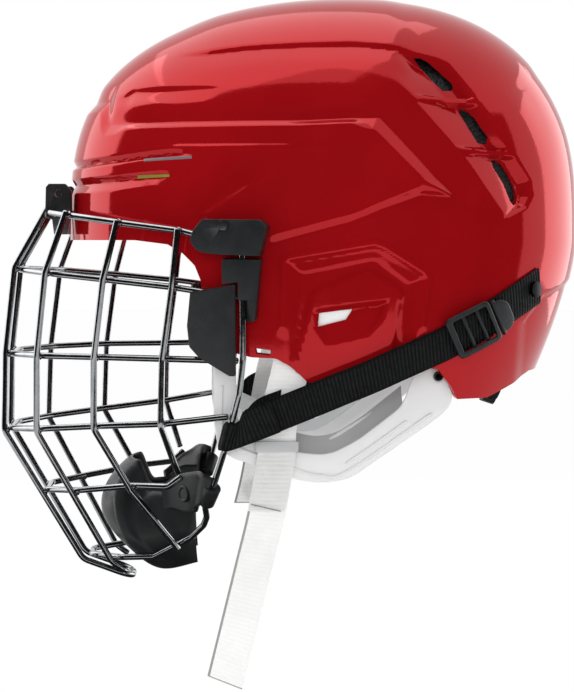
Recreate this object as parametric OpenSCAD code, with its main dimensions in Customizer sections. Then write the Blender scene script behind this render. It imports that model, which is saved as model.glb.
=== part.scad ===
/* [Shell] */
// From the middle of the head to the brow
shell_front = 129; // [124:1:136]
// From the middle of the head to the back of the shell
shell_rear = 132; // [128:1:140]
// Greatest width over the ears
shell_width = 190; // [184:1:200]
// Height of the crown above the brow
crown_height = 123; // [116:1:132]
// Wall of the moulded shell
shell_wall = 3.2; // [2.6:0.1:3.8]
// Height of the raised band along the crown and of the side panels
relief = 2.4; // [1:0.1:3]

/* [Lining] */
// Thickness of the foam liner
foam_t = 17; // [12:0.5:20]
// Thickness of the soft comfort pads
pad_t = 6; // [4:0.5:8]

/* [Cage] */
// Diameter of the cage's steel wire
wire_d = 3.2; // [2.8:0.1:3.6]
// How far the brow wire stands out from the brow
brow_reach = 8; // [7.5:0.25:10]
// Height of the brow wire above the shell's brow edge
hinge_z = 13.9; // [13:0.1:15]
// How far the side wires stand off the shell
side_reach = 4.6; // [4.2:0.1:5.4]
// Height of the cage below the brow wire
cage_drop = 178; // [172:1:186]
// Inside radius of a bend in the wire, to its middle
bend_r = 5; // [4:0.5:6]

/* [Straps] */
// Width of the black harness strap
harness_w = 16; // [14:0.5:18]
// Thickness of the black harness strap
harness_t = 1.6; // [1.2:0.1:2]
// Width of the white chin webbing
webbing_w = 18.5; // [16:0.5:20]
// Thickness of the white chin webbing
webbing_t = 1.4; // [1:0.1:1.6]
// Length of the loose end that hangs from the left ear
loose_end = 118; // [80:1:140]

/* [Ear guards] */
// Thickness of the ear guard plate
guard_t = 2.5; // [2:0.1:3]
// How far the ear guard hangs under the brow
guard_drop = 118; // [112:1:124]

/* [Fit dial] */
// Diameter of the dial at the nape
dial_d = 30; // [26:1:34]
// How far the nape cradle moves in
cradle_travel = 8; // [4:1:10]

/* [Hidden] */
SIDES = [-1, 1];

red = "#9c1014";
black = "#191a1b";
charcoal = "#333536";
white = "#f2f2f0";
grey = "#a3a4a4";
foam = "#2b2c2e";
steel = "#b9bdc1";

fine = 48;
gap = 0.3;
// How much wider the shell is than the one that the cage and the guards were first fitted to
grow = shell_width / 190;

// The shell's surface is a rounded dome. It is named by a turn about the head, from 0 at the
// brow to 180 at the nape, and a height share, 1 at the crown, 0 at the brow, -1 at the skirt.
wide_x = 15;
skirt = 88;
plan_p = 2.2;
rise_f = 3.25;
rise_s = 2.6;
rise_r = 2.8;
round_f = 2;
round_s = 2.2;
round_r = 2.3;
tuck_f = 0.1;
tuck_s = 0.09;
tuck_r = 0.2;
tuck_z = 75;
function blend(c2, ahead, f, s, r) = s + ((ahead ? f : r) - s) * c2;
function spow(v, p) = sign(v) * pow(abs(v), p);
function smooth(t) = let(u = min(max(t, 0), 1)) u * u * (3 - 2 * u);
function half_len(ahead) = ahead ? shell_front + wide_x : shell_rear - wide_x;

// The dome without its relief, inset is measured in from the outside
function dome(turn, v, inset) =
    let(ahead = cos(turn) > 0,
        c2 = pow(cos(turn), 2),
        e = 90 * max(v, 0),
        z = v > 0 ? (crown_height - inset) * pow(sin(e), 2 / blend(c2, ahead, rise_f, rise_s, rise_r))
                  : v * skirt,
        s = v > 0 ? pow(cos(e), 2 / blend(c2, ahead, round_f, round_s, round_r))
                  : 1 - blend(c2, ahead, tuck_f, tuck_s, tuck_r) * pow(-z / tuck_z, 1.5))
    [wide_x - (half_len(ahead) - inset) * s * spow(cos(turn), 2 / plan_p),
     -(shell_width / 2 - inset) * s * spow(sin(turn), 2 / plan_p), z];

// Half the shell's width at a place seen from the side
function side_y(x, z, inset = 0) =
    let(ahead = x < wide_x,
        l = half_len(ahead) - inset,
        u = min(abs(x - wide_x) / l, 1),
        c2 = pow(u, plan_p),
        h = crown_height - inset,
        s = z > 0 ? pow(1 - pow(z / h, blend(c2, ahead, rise_f, rise_s, rise_r)),
                        1 / blend(c2, ahead, round_f, round_s, round_r))
                  : 1 - blend(c2, ahead, tuck_f, tuck_s, tuck_r) * pow(-z / tuck_z, 1.5))
    (shell_width / 2 - inset) * s * pow(max(0, 1 - pow(u / s, plan_p)), 1 / plan_p);

// Slope of the shell's side in plan, for what is clipped flat against it
function side_turn(x, z) = atan((side_y(x + 5, z) - side_y(x - 5, z)) / 10);

// The crown's raised band ends at a line that falls behind as the rear wall of the vent channel.
// The side panel stands out below a tuck that runs along its top and down behind it.
band_line = [[-72, 90], [-38, 92.6], [12, 94.2], [36, 92], [58, 86], [69, 71.5], [86, 46], [99, 29]];
channel_front = [[13, 84], [43, 60], [66, 42], [85, 25]];
channel_rear = [[21, 100], [29, 98.5], [46, 86.5], [71.5, 69], [86, 58], [92, 36]];
panel_z = 57.5;
panel_back = 82;
tuck_share = 0.6;
function band_step(p) = smooth((p[2] - lookup(p[0], band_line)) / 5) * smooth((p[0] + 76) / 26);
function channel_step(p) =
    smooth((p[0] - lookup(p[2], channel_front)) / 12) * (1 - smooth((p[0] + 4 - lookup(p[2], channel_rear)) / 5))
    * smooth((p[2] - 10) / 10) * (1 - smooth((p[2] - 88) / 6));
function tuck_step(p) =
    let(d = max(p[2] - panel_z, (p[0] + p[2] - panel_back) / 1.4))
    smooth(d / 3) * (1 - smooth((d - 3) / 10)) * (1 - smooth((p[0] - 60) / 10)) * smooth((p[2] - 16) / 10);
function swell(turn, v) =
    let(p = dome(turn, v, 0))
    relief * (0.5 * band_step(p) - channel_step(p) - tuck_share * tuck_step(p));
function shell_point(turn, v, inset) = dome(turn, v, inset - swell(turn, v));

// Triangles over two grids of points, one outside and one inside, closed round their edges
module slab(outside, inside) {
    rows = len(outside);
    cols = len(outside[0]);
    n = rows * cols;
    points = concat([for (r = outside) each r], [for (r = inside) each r]);
    function at(i, j) = i * cols + j;
    faces = concat(
        [for (i = [0 : rows - 2], j = [0 : cols - 2]) each [
            [at(i, j), at(i + 1, j + 1), at(i, j + 1)],
            [at(i, j), at(i + 1, j), at(i + 1, j + 1)],
            [n + at(i, j), n + at(i, j + 1), n + at(i + 1, j + 1)],
            [n + at(i, j), n + at(i + 1, j + 1), n + at(i + 1, j)]]],
        [for (i = [0 : rows - 2]) each [
            [at(i, 0), n + at(i + 1, 0), at(i + 1, 0)],
            [at(i, 0), n + at(i, 0), n + at(i + 1, 0)],
            [at(i, cols - 1), at(i + 1, cols - 1), n + at(i + 1, cols - 1)],
            [at(i, cols - 1), n + at(i + 1, cols - 1), n + at(i, cols - 1)]]],
        [for (j = [0 : cols - 2]) each [
            [at(0, j), at(0, j + 1), n + at(0, j + 1)],
            [at(0, j), n + at(0, j + 1), n + at(0, j)],
            [at(rows - 1, j), n + at(rows - 1, j + 1), at(rows - 1, j + 1)],
            [at(rows - 1, j), n + at(rows - 1, j), n + at(rows - 1, j + 1)]]]);
    polyhedron(points, faces, convexity = 6);
}

// A pad that follows the inside of the dome between two turns and two heights
module dome_pad(turns, heights, deep, thick, cols, rows) {
    function grid(inset) = [for (i = [0 : rows])
        [for (j = [0 : cols])
            dome(turns[0] + (turns[1] - turns[0]) * j / cols,
                 heights[0] + (heights[1] - heights[0]) * i / rows, inset)]];
    slab(grid(deep), grid(deep + thick));
}

// Round wire bent through a list of corners, as rings of points along it. Each ring is its
// middle, its direction and a sideways direction that is carried along without twisting.
wire_sides = 12;
wire_step = 20;
function unit(v) = v / norm(v);
function leg(pts, i) = unit(pts[i + 1] - pts[i]);
function bend_angle(pts, i) =
    i <= 0 || i >= len(pts) - 1 ? 0 : acos(min(1, leg(pts, i - 1) * leg(pts, i)));
function first_side(d) = unit(cross(d, abs(d[2]) > 0.9 ? [1, 0, 0] : [0, 0, 1]));
function turned(v, k, a) = v * cos(a) + cross(k, v) * sin(a) + k * (k * v) * (1 - cos(a));
module placed(x, y, z, o) {
    multmatrix([[x[0], y[0], z[0], o[0]], [x[1], y[1], z[1], o[1]], [x[2], y[2], z[2], o[2]], [0, 0, 0, 1]])
        children();
}
function wire_rings(pts, radius, i, side) =
    let(dir = leg(pts, i - 1))
    i == len(pts) - 1 ? [[pts[i], dir, side]]
    : let(turn = bend_angle(pts, i),
          k = unit(cross(dir, leg(pts, i))),
          inward = cross(k, dir),
          middle = pts[i] - radius * tan(turn / 2) * dir + radius * inward,
          steps = max(1, ceil(turn / wire_step)))
      concat([for (s = [0 : steps])
                 let(a = turn * s / steps)
                 [middle - radius * turned(inward, k, a), turned(dir, k, a), turned(side, k, a)]],
             wire_rings(pts, radius, i + 1, turned(side, k, turn)));
module wire(pts, radius, d = wire_d) {
    first = first_side(leg(pts, 0));
    rings = concat([[pts[0], leg(pts, 0), first]], wire_rings(pts, radius, 1, first));
    n = wire_sides;
    last = len(rings) - 1;
    points = [for (r = rings, j = [0 : n - 1])
        r[0] + d / 2 * (cos(360 * j / n) * r[2] + sin(360 * j / n) * cross(r[1], r[2]))];
    faces = concat(
        [[for (j = [0 : n - 1]) j], [for (j = [n - 1 : -1 : 0]) last * n + j]],
        [for (i = [0 : last - 1], j = [0 : n - 1])
            let(a = i * n + j, b = i * n + (j + 1) % n)
            each [[a, a + n, b + n], [a, b + n, b]]]);
    polyhedron(points, faces, convexity = 8);
}
module mirrored(side) {
    if (side < 0) children();
    else mirror([0, 1, 0]) children();
}

// A bowl turned upside down, from two grids that close round the head and their top points
module bowl(outside, inside, top_out, top_in) {
    rows = len(outside);
    cols = len(outside[0]);
    n = rows * cols;
    points = concat([for (r = outside) each r], [for (r = inside) each r], [top_out, top_in]);
    function at(i, k) = i * cols + k % cols;
    faces = concat(
        [for (i = [0 : rows - 2], k = [0 : cols - 1]) each [
            [at(i, k), at(i + 1, k + 1), at(i, k + 1)],
            [at(i, k), at(i + 1, k), at(i + 1, k + 1)],
            [n + at(i, k), n + at(i, k + 1), n + at(i + 1, k + 1)],
            [n + at(i, k), n + at(i + 1, k + 1), n + at(i + 1, k)]]],
        [for (k = [0 : cols - 1]) each [
            [at(rows - 1, k), 2 * n, at(rows - 1, k + 1)],
            [n + at(rows - 1, k), n + at(rows - 1, k + 1), 2 * n + 1],
            [at(0, k), at(0, k + 1), n + at(0, k + 1)],
            [at(0, k), n + at(0, k + 1), n + at(0, k)]]]);
    polyhedron(points, faces, convexity = 8);
}

// Outer shell, one moulded piece with its rim, ear holes and vents cut out
shell_turns = 80;
dome_rows = 17;
skirt_rows = 5;
rim = [
    [-94, 0], [-78, -2], [-71, -6], [-65, -12], [-61.5, -20], [-61, -34], [-54, -46], [-46, -54],
    [-38, -56], [-26, -56.5], [-20, -60], [-11, -69], [10, -68], [45, -61], [52, -62],
    [60, -71], [62, -77], [78, -77], [90, -72], [104, -66]
];
ear_hole = [[-6, -34.5], [10.5, -32.5], [7, -38], [-6, -41]];
vent_l = 17;
vent_w = 6.5;
vents = [[50, 80], [69, 55], [86, 28]];
vent_lean = 14;
brow_slot = [[-89, 37.6], [-66, 38.6], [-66, 40.2], [-89, 39.2]];
module side_prism(outline, from = 20) {
    rotate([90, 0, 0]) translate([0, 0, from]) linear_extrude(shell_width) polygon(outline);
}
module outer_shell() {
    heights = concat([for (i = [0 : skirt_rows - 1]) i / skirt_rows - 1],
                     [for (i = [0 : dome_rows - 1]) i / dome_rows]);
    function grid(inset) = [for (v = heights)
        [for (k = [0 : shell_turns - 1]) shell_point(360 * k / shell_turns, v, inset)]];
    far = shell_front + shell_rear;
    below = skirt + 20;
    color(red)
    resize([0, shell_width, 0])
    difference() {
        bowl(grid(0), grid(shell_wall), shell_point(0, 1, 0), shell_point(0, 1, shell_wall));
        side_prism(concat([[-far, 0]], rim, [[far, rim[len(rim) - 1][1]], [far, -below], [-far, -below]]),
                   -shell_width / 2);
        for (side = SIDES) mirrored(side) {
            side_prism(ear_hole, 60);
            side_prism(brow_slot);
            for (p = vents)
                side_prism([[p[0] - vent_lean / 2 - vent_w / 2, p[1] + vent_l / 2],
                            [p[0] - vent_lean / 2 + vent_w / 2, p[1] + vent_l / 2],
                            [p[0] + vent_lean / 2 + vent_w / 2, p[1] - vent_l / 2],
                            [p[0] + vent_lean / 2 - vent_w / 2, p[1] - vent_l / 2]]);
        }
    }
}

// Foam liner, cut in five pieces that line the shell. The front one has only the tuck over it and
// no channel, so it lies closer to the shell.
liner_in = shell_wall + relief + 1.3;
front_in = shell_wall + tuck_share * relief + 1.5 * gap;
front_turn = 54;
side_turns = [62, 122];
rear_turn = 51;
liner_low = -0.45;
liner_high = 0.42;
crown_low = 0.47;
module front_liner() {
    color(foam) dome_pad([-front_turn, front_turn], [0.07, liner_high], front_in, foam_t, 18, 6);
}
module side_liner(side) {
    mirrored(side) color(foam) dome_pad(side_turns, [liner_low, liner_high], liner_in, foam_t, 10, 8);
}
module rear_liner() {
    color(foam)
    dome_pad([180 - rear_turn, 180 + rear_turn], [-0.3, liner_high], liner_in, foam_t, 16, 8);
}
module crown_liner() {
    cols = 36;
    rows = 6;
    function grid(inset) = [for (i = [0 : rows - 1])
        [for (k = [0 : cols - 1]) dome(360 * k / cols, crown_low + (1 - crown_low) * i / rows, inset)]];
    deep = liner_in + foam_t;
    color(foam) bowl(grid(liner_in), grid(deep), dome(0, 1, liner_in), dome(0, 1, deep));
}

// Soft pads on the liner's inner face, at the forehead and the temples
pad_in = liner_in + foam_t + gap;
module forehead_pad() {
    color(black) dome_pad([-42, 42], [0.09, 0.34], front_in + foam_t + gap, pad_t, 14, 4);
}
module temple_pad(side) {
    mirrored(side) color(black) dome_pad([68, 116], [-0.36, 0.3], pad_in, pad_t, 8, 6);
}

// Dark mesh behind the three vents of each side
module vent_screens(side) {
    screen_t = 0.8;
    mirrored(side) color(black)
    for (p = vents)
        slab([for (i = [-1 : 1]) [for (j = [-1 : 1]) screen_point(p, i, j, 0)]],
             [for (i = [-1 : 1]) [for (j = [-1 : 1]) screen_point(p, i, j, screen_t)]]);
}

function screen_point(p, i, j, deep) =
    let(x = p[0] - i * vent_lean / 2 + j * (vent_w / 2 + 1.5),
        z = p[1] + i * (vent_l / 2 + 1.5))
    [x, -side_y(x, z, shell_wall + relief + gap / 2 + deep), z];

// Ear guard, a flat moulded plate that hangs in a loop under the ear, with a flange turned in
guard_y = 72.8 * grow;
guard_rise = 9;
guard_in = 9;
guard_outline = [
    [-45, -40], [-45, -84], [-42, -92], [-15, -103], [0, -104], [14, -97], [36, -80], [42, -62], [54, -58],
    [60, -68], [60, -80], [52, -87], [10, 2 - guard_drop], [-4, -guard_drop], [-17, 2 - guard_drop],
    [-48, -105], [-54, -100], [-56, -88], [-56, -64], [-54, -40]
];
flange_path = [[-42, -92], [-15, -103], [0, -104], [14, -97], [36, -80]];
guard_rivets = [[-50, -45], [53, -66]];
rivet_d = 3.8;
module ear_guard(side) {
    mirrored(side) color(white) {
        difference() {
            side_plate(guard_outline, guard_y, guard_t);
            for (p = guard_rivets)
                translate([p[0], -guard_y - guard_t / 2, p[1]])
                    rotate([90, 0, 0])
                        cylinder(h = 2 * guard_t, d = rivet_d + 2 * gap, center = true, $fn = fine);
        }
        slab([for (p = flange_path) flange_edge(p, -guard_t)], [for (p = flange_path) flange_edge(p, 0)]);
    }
}
function flange_edge(p, down) =
    [[p[0], -guard_y, p[1] + down], [p[0], guard_in - guard_y, p[1] + guard_rise + down]];
module side_plate(outline, from, thick) {
    rotate([90, 0, 0]) translate([0, 0, from]) linear_extrude(thick) polygon(outline);
}

// Rivets that hold the ear guards and the webbing inside the shell
webbing_rivet = [-18, -51];
anchor = [101, -24];
module rivet(place, from, to) {
    head_t = 1.4;
    translate([place[0], -from, place[1]]) rotate([90, 0, 0]) {
        translate([0, 0, -head_t - gap]) cylinder(h = head_t, d = 2 * rivet_d, $fn = fine);
        translate([0, 0, -gap - 0.1]) cylinder(h = to - from + gap + 0.1, d = rivet_d, $fn = fine);
    }
}
module shell_rivets() {
    color(steel)
    for (side = SIDES) mirrored(side) {
        for (p = guard_rivets)
            rivet(p, guard_y, side_y(p[0], p[1], shell_wall) - 3 * gap);
        rivet(webbing_rivet, webbing_y(webbing_rivet[1]) - webbing_t, webbing_y(webbing_rivet[1]) + gap);
        translate([anchor[0], -strap_y(anchor[0], anchor[1]) - harness_t - 3 * gap, anchor[1]])
            rotate([0, 0, -side_turn(anchor[0], anchor[1])]) rotate([90, 0, 0])
                cylinder(h = 1.6, d = 2 * rivet_d, $fn = fine);
    }
}

// Forehead clips, moulded blocks that trap the brow wire and let the cage swing up
hinge_x = -shell_front - brow_reach;
clip_y = 26.5;
clip_w = 11;
clip_bore_r = 2;
clip_bore = [hinge_x + 3.6, hinge_z + 9.6];
wire_gap = 0.3;
function brow_face(y) =
    wide_x - half_len(true) * pow(1 - pow(y / (shell_width / 2), plan_p), 1 / plan_p);
clip_back = brow_face(clip_y - clip_w / 2) - gap;
module front_block(outline) {
    rotate([90, 0, 0]) translate([0, 0, clip_y - clip_w / 2]) linear_extrude(clip_w) polygon(outline);
}
module across(x, z, d) {
    translate([x, 0, z]) rotate([90, 0, 0]) cylinder(h = 2 * clip_y, d = d, $fn = fine);
}
module forehead_clip(side) {
    x = hinge_x;
    z = hinge_z;
    mirrored(side) color(black)
    difference() {
        front_block([[x - 2.8, z], [x - 2.4, z + 12.6], [x - 0.9, z + 14.3], [clip_back - 3, z + 14.3],
                     [clip_back, z + 11], [clip_back, z]]);
        across(x, z, wire_d + 2 * wire_gap);
        across(clip_bore[0], clip_bore[1], 2 * clip_bore_r);
    }
}

// Steel saddles under the brow wire, screwed up into the clips
module forehead_saddles() {
    x = hinge_x;
    z = hinge_z;
    color(steel)
    for (side = SIDES) mirrored(side)
        difference() {
            front_block([[x - 2.8, z], [clip_back - 0.6, z], [clip_back - 0.6, z - 3], [clip_back - 2, z - 11],
                         [x + 1.5, z - 11], [x + 0.6, z - 3.6], [x - 2.8, z - 2.4]]);
            across(x, z, wire_d + 2 * wire_gap);
        }
}

// Side clips, screwed to the shell's temple, with a channel under them for the brow wire
clip_at = [-47, 0];
clip_outline = [[-12.5, 10], [15.5, 9.6], [18.5, 6.8], [16.5, -1.8], [15, -7.4], [-4, -6.8],
                [-11.5, -6], [-15.5, -4.6], [-18.5, -0.3], [-17, 4.6]];
clip_low = 0.7;
clip_out = 9.5;
clip_roof = 5.3;
clip_screw = [-2, 7.2];
screw_d = 2.6;
module on_temple() {
    translate([clip_at[0], -side_y(clip_at[0], clip_at[1]), clip_at[1]])
        rotate([0, 0, -side_turn(clip_at[0], clip_at[1])])
            rotate([90, 0, 0])
                children();
}
module side_clip(side) {
    mirrored(side) color(black)
    on_temple() difference() {
        translate([0, 0, clip_low]) linear_extrude(clip_out - clip_low) polygon(clip_outline);
        translate([-30, -20, side_reach - wire_d / 2 - 4 * wire_gap])
            cube([42, 20 + clip_roof, wire_d + 7 * wire_gap]);
        translate([clip_screw[0], clip_screw[1], 0]) cylinder(h = 20, d = screw_d + 0.2, $fn = fine);
    }
}
module side_clip_screws() {
    head_t = 1.6;
    color(steel)
    for (side = SIDES) mirrored(side)
        on_temple() translate([clip_screw[0], clip_screw[1], 0]) {
            translate([0, 0, clip_low]) cylinder(h = clip_out - clip_low + 0.1, d = screw_d, $fn = fine);
            translate([0, 0, clip_out + 0.05]) cylinder(h = head_t, d = 1.9 * screw_d, $fn = fine);
        }
}

// Black harness strap, from its slot at the back of the shell down to the cage
lift = 0.5;
strap_line = [[107, -20.5], [101, -24], [95, -27.5], [89, -31], [83, -34.5], [76, -38.5], [69, -42.5],
              [61.5, -46.3], [54, -50], [47, -53], [40, -56], [31.5, -59.7], [23, -63.5], [14, -67.3],
              [6, -70.5], [-11, -77.5], [-38, -88.5]];
strap_end_y = 84.6 * grow;
strap_free_x = 2;
rim_z = -70;
function strap_y(x, z) =
    let(plane = strap_end_y + 0.082 * (x - strap_line[len(strap_line) - 1][0]))
    x < strap_free_x ? plane : side_y(x, max(z, rim_z)) + lift;
function line_dir(line, i) = unit(line[min(i + 1, len(line) - 1)] - line[max(i - 1, 0)]);
function strap_row(i, deep) =
    let(d = line_dir(strap_line, i), c = strap_line[i])
    [for (j = [-1, 0, 1])
        let(x = c[0] + d[1] * j * harness_w / 2, z = c[1] - d[0] * j * harness_w / 2)
        [x, -strap_y(x, z) - deep, z]];
module harness_strap(side) {
    last = len(strap_line) - 1;
    mirrored(side) color(black)
    slab([for (i = [0 : last]) strap_row(i, harness_t)], [for (i = [0 : last]) strap_row(i, 0)]);
}

// Ladder buckle that rides on the strap, with a lever behind it that lifts on its own pin
buckle_at = [69, -43];
buckle_turn = 25;
buckle_l = 24;
buckle_w = 21;
buckle_t = 3.6;
lever_l = 7.5;
lever_t = 2.4;
function on_strap(u, w, deep) =
    let(x = buckle_at[0] + u * cos(buckle_turn) - w * sin(buckle_turn),
        z = buckle_at[1] + u * sin(buckle_turn) + w * cos(buckle_turn))
    [x, -strap_y(x, z) - harness_t - gap - deep, z];
module strap_patch(us, ws, low, high) {
    slab([for (u = us) [for (w = ws) on_strap(u, -w, high)]], [for (u = us) [for (w = ws) on_strap(u, -w, low)]]);
}
module strap_hole(u, w, l, h) {
    translate([buckle_at[0], 0, buckle_at[1]]) rotate([90, -buckle_turn, 0])
        translate([u, w, 60]) linear_extrude(60) square([l, h], center = true);
}
module buckle(side) {
    mirrored(side) color(black)
    difference() {
        strap_patch([-0.5, 0, 0.5] * buckle_l, [-0.5, 0, 0.5] * buckle_w, 0, buckle_t);
        for (u = [-6.5, 1, 7.5]) strap_hole(u, 0, 4.5, buckle_w - 5);
    }
}
lever_low = 0.4;
pin_end = 0.8;
lever_at = buckle_l / 2 + 2 * gap + lever_t / 2;
function pin_point(w) = on_strap(lever_at, w * 0.4 * buckle_w, lever_low + lever_t / 2);
module buckle_lever(side) {
    along = pin_point(1) - pin_point(-1);
    dir = unit(along);
    across = first_side(dir);
    mirrored(side) color(grey) {
        strap_patch([lever_at, lever_at + lever_l], [-0.4, 0, 0.4] * buckle_w, lever_low, lever_low + lever_t);
        placed(across, cross(dir, across), dir, pin_point(-1) - pin_end * dir)
            cylinder(h = norm(along) + 2 * pin_end, d = lever_t, $fn = fine);
    }
}

// White webbing, riveted inside the shell and looped round a bar on the ear guard
bar_at = [-25.5, -99.5];
bar_size = [21, 5];
bar_t = 4;
webbing_top = [-18, -46];
webbing_line = [webbing_top, [-18, -57], [-22, -74], [-25, -90], [bar_at[0], bar_at[1] + bar_size[1] / 2]];
bar_in = guard_y + guard_t + gap;
webbing_out = bar_in + 2.9;
webbing_root = 82.7 * grow;
function webbing_y(z) = z > -57 ? webbing_root : webbing_out + (webbing_root - webbing_out) * max(0, (z + 97) / 40);
function hang_row(p, y) = [[p[0] + webbing_w / 2, -y, p[1]], [p[0] - webbing_w / 2, -y, p[1]]];
module webbing(side) {
    mirrored(side) color(white)
    difference() {
        slab([for (p = webbing_line) hang_row(p, webbing_y(p[1]))],
             [for (p = webbing_line) hang_row(p, webbing_y(p[1]) - webbing_t)]);
        translate([webbing_rivet[0], -webbing_y(0), webbing_rivet[1]]) rotate([90, 0, 0])
            cylinder(h = 10, d = rivet_d + 2 * gap, center = true, $fn = fine);
    }
}
module strap_bar(side) {
    mirrored(side) color(grey)
    translate([bar_at[0] - bar_size[0] / 2, -bar_in - bar_t, bar_at[1] - bar_size[1] / 2])
        cube([bar_size[0], bar_t, bar_size[1]]);
}

// Chin straps, a long loose one on the left and a short one with a snap on the right
hang_from = [bar_at[0], bar_at[1] - bar_size[1] / 2];
hang_mid = [[hang_from[0] - 2.5, hang_from[1] - 16], [hang_from[0] - 5.5, hang_from[1] - 32]];
hang_lean = [-21, -85.5];
short_drop = 46;
function hang_line(long) =
    [hang_from, hang_mid[0], hang_mid[1], hang_mid[1] + unit(hang_lean) * (long - 32)];
module chin_strap(side, long) {
    mirrored(side) color(white)
    slab([for (p = hang_line(long)) hang_row(p, webbing_out)],
         [for (p = hang_line(long)) hang_row(p, webbing_out - webbing_t)]);
}
module chin_strap_slider() {
    p = hang_line(short_drop)[2] - [1.5, 6];
    mirrored(1) color(black)
    translate([p[0], -webbing_out - gap / 2, p[1]]) rotate([90, 0, 0]) {
        cylinder(h = 3, d = 13, $fn = fine);
        translate([0, 0, 3]) cylinder(h = 1.2, d = 9, $fn = fine);
    }
}

// Nape cradle with its dial, sliding on two pins in a carrier behind it
cradle_in = 30;
cradle_t = 2.5;
cradle_turns = [149, 211];
cradle_heights = [-0.9, -0.5];
carrier_t = 11;
pin_at = [22, -54];
pin_d = 5;
pin_back = 107;
dial_z = -69;
dial_lean = 18.5;
dial_t = 6.5;
dial_pin_d = 6;
running = 0.05;
dial_x = dome(180, dial_z / skirt, cradle_in)[0];
module at_dial() {
    translate([dial_x, 0, dial_z]) rotate([0, 90 + dial_lean, 0]) children();
}
module cradle_carrier() {
    color(charcoal)
    difference() {
        dome_pad([160, 200], [-0.68, -0.55], shell_wall + gap, carrier_t, 8, 1);
        for (side = SIDES)
            translate([60, side * pin_at[0], pin_at[1]]) rotate([0, 90, 0])
                cylinder(h = 80, d = pin_d + 2 * running, $fn = fine);
    }
}
module nape_cradle() {
    seat = dome(180 - pin_at[0], pin_at[1] / skirt, cradle_in + cradle_t)[0] + 1.5;
    color(grey)
    difference() {
        union() {
            dome_pad(cradle_turns, cradle_heights, cradle_in, cradle_t, 12, 6);
            for (side = SIDES)
                translate([seat, side * pin_at[0], pin_at[1]]) rotate([0, 90, 0])
                    cylinder(h = pin_back - seat, d = pin_d, $fn = fine);
            at_dial() translate([0, 0, -1]) cylinder(h = 3, d = 2.4 * dial_pin_d, $fn = fine);
        }
        at_dial() translate([0, 0, -6]) cylinder(h = 12, d = dial_pin_d + 2 * running, $fn = fine);
    }
}
module nape_pad() {
    color(black)
    dome_pad(cradle_turns + [4, -4], cradle_heights + [0.04, -0.02], cradle_in + cradle_t + gap, pad_t, 10, 4);
}
module fit_dial() {
    color(charcoal)
    at_dial() {
        translate([0, 0, -1.6]) cylinder(h = 4.4, d = dial_pin_d, $fn = fine);
        difference() {
            translate([0, 0, 2 + gap]) cylinder(h = dial_t, d = dial_d, $fn = fine);
            for (k = [0 : 9])
                rotate(36 * k) translate([dial_d / 2 + 1.6, 0, 2])
                    cylinder(h = dial_t + 1, d = 5, $fn = 16);
        }
    }
}

// Cage, welded from bent steel wire. Bars run up and down outside, cross wires lie inside them.
cage_low = hinge_z - cage_drop;
weld = wire_d + 0.15;
hoop_r = 12;
side_line = [[-49, 0], [-42.5, -2.5], [-42, -40], [-42, -57]];
function beside(p) = [p[0], -side_y(p[0], p[1]) - side_reach, p[1]];
brow_half = [
    [hinge_x, -34.5, hinge_z], [hinge_x + 12, -55 * grow, hinge_z - 2],
    [hinge_x + 37, -75 * grow, hinge_z - 5.6], [hinge_x + 65.5, -84.5 * grow, hinge_z - 9.4], beside([-60, 1.4]), beside(side_line[0] - [0.45, -0.05])
];
function flip(p) = [p[0], -p[1], p[2]];
function reversed(v) = [for (i = [len(v) - 1 : -1 : 0]) v[i]];
module brow_wire() {
    color(steel) wire(concat(reversed(brow_half), [for (p = brow_half) flip(p)]), bend_r);
}
loop_from = [-44, -85.5 * grow, -74];
loop_to = [-51, -79 * grow, -102];
loop_end = [-56, -71 * grow, cage_low + 45];
ring_end = [-60.2, -61.5 * grow, cage_low + 34];
frame_line = concat([for (p = side_line) beside(p)], [
    loop_from, loop_to, loop_end, ring_end, [-59.3, -56.5 * grow, cage_low + 27.5],
    [-60.8, -53 * grow, cage_low + 23], [-67, -47, cage_low + 16], [-86, -33, cage_low + 4.2], [-103, -24.5, cage_low + 2.6],
    [-118.4, -9, cage_low + 2.2], [-118.4, -0.05, cage_low + 2.2]
]);
module frame_wire(side) {
    mirrored(side) color(steel) wire(frame_line, bend_r);
}

// Where each bar crosses each level, bars 1 to 4 from the middle out, levels from the brow down
bar_x = [hinge_x - 19.6, hinge_x - 1.5, hinge_x + 27.7, hinge_x + 61];
bar_side = [[18, 18, 18], [53.5, 47, 40.5] * grow, [73, 66, 56] * grow, [82.5, 77, 75] * grow];
level_bow = [0, -4.8, -5.6];
level_z = [hinge_z - 27.8, -57.5, -97];
level_slope = [-0.11, 0, 0.09];
level_4 = [[-143.5, -15, cage_low + 34.7], [-125.8, -34.5, cage_low + 36.6], [-97.5, -48, cage_low + 40.5]];
function cross_at(k, j) =
    [bar_x[k] + level_bow[j], -bar_side[k][j], level_z[j] + level_slope[j] * (bar_x[k] - bar_x[0])];
bar_top = [
    [hinge_x, -18, hinge_z], [hinge_x + 11.5, -54 * grow, hinge_z - 2],
    [hinge_x + 36.4, -74.5 * grow, hinge_z - 5.6], [hinge_x + 65, -84.4 * grow, hinge_z - 9.4]
];
bar_end = [
    [[hinge_x + 14, -12, cage_low], [hinge_x + 39.5, -12, cage_low - 9.5], [hinge_x + 39.5, -0.05, cage_low - 9.5]],
    [[hinge_x + 29.5, -28.5, cage_low + 1], [hinge_x + 36, -27, cage_low - 3.6]],
    [level_4[2], [-73.4, -46, cage_low + 9.6]],
    [[-73.5, -62.5, cage_low + 50]]
];
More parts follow.
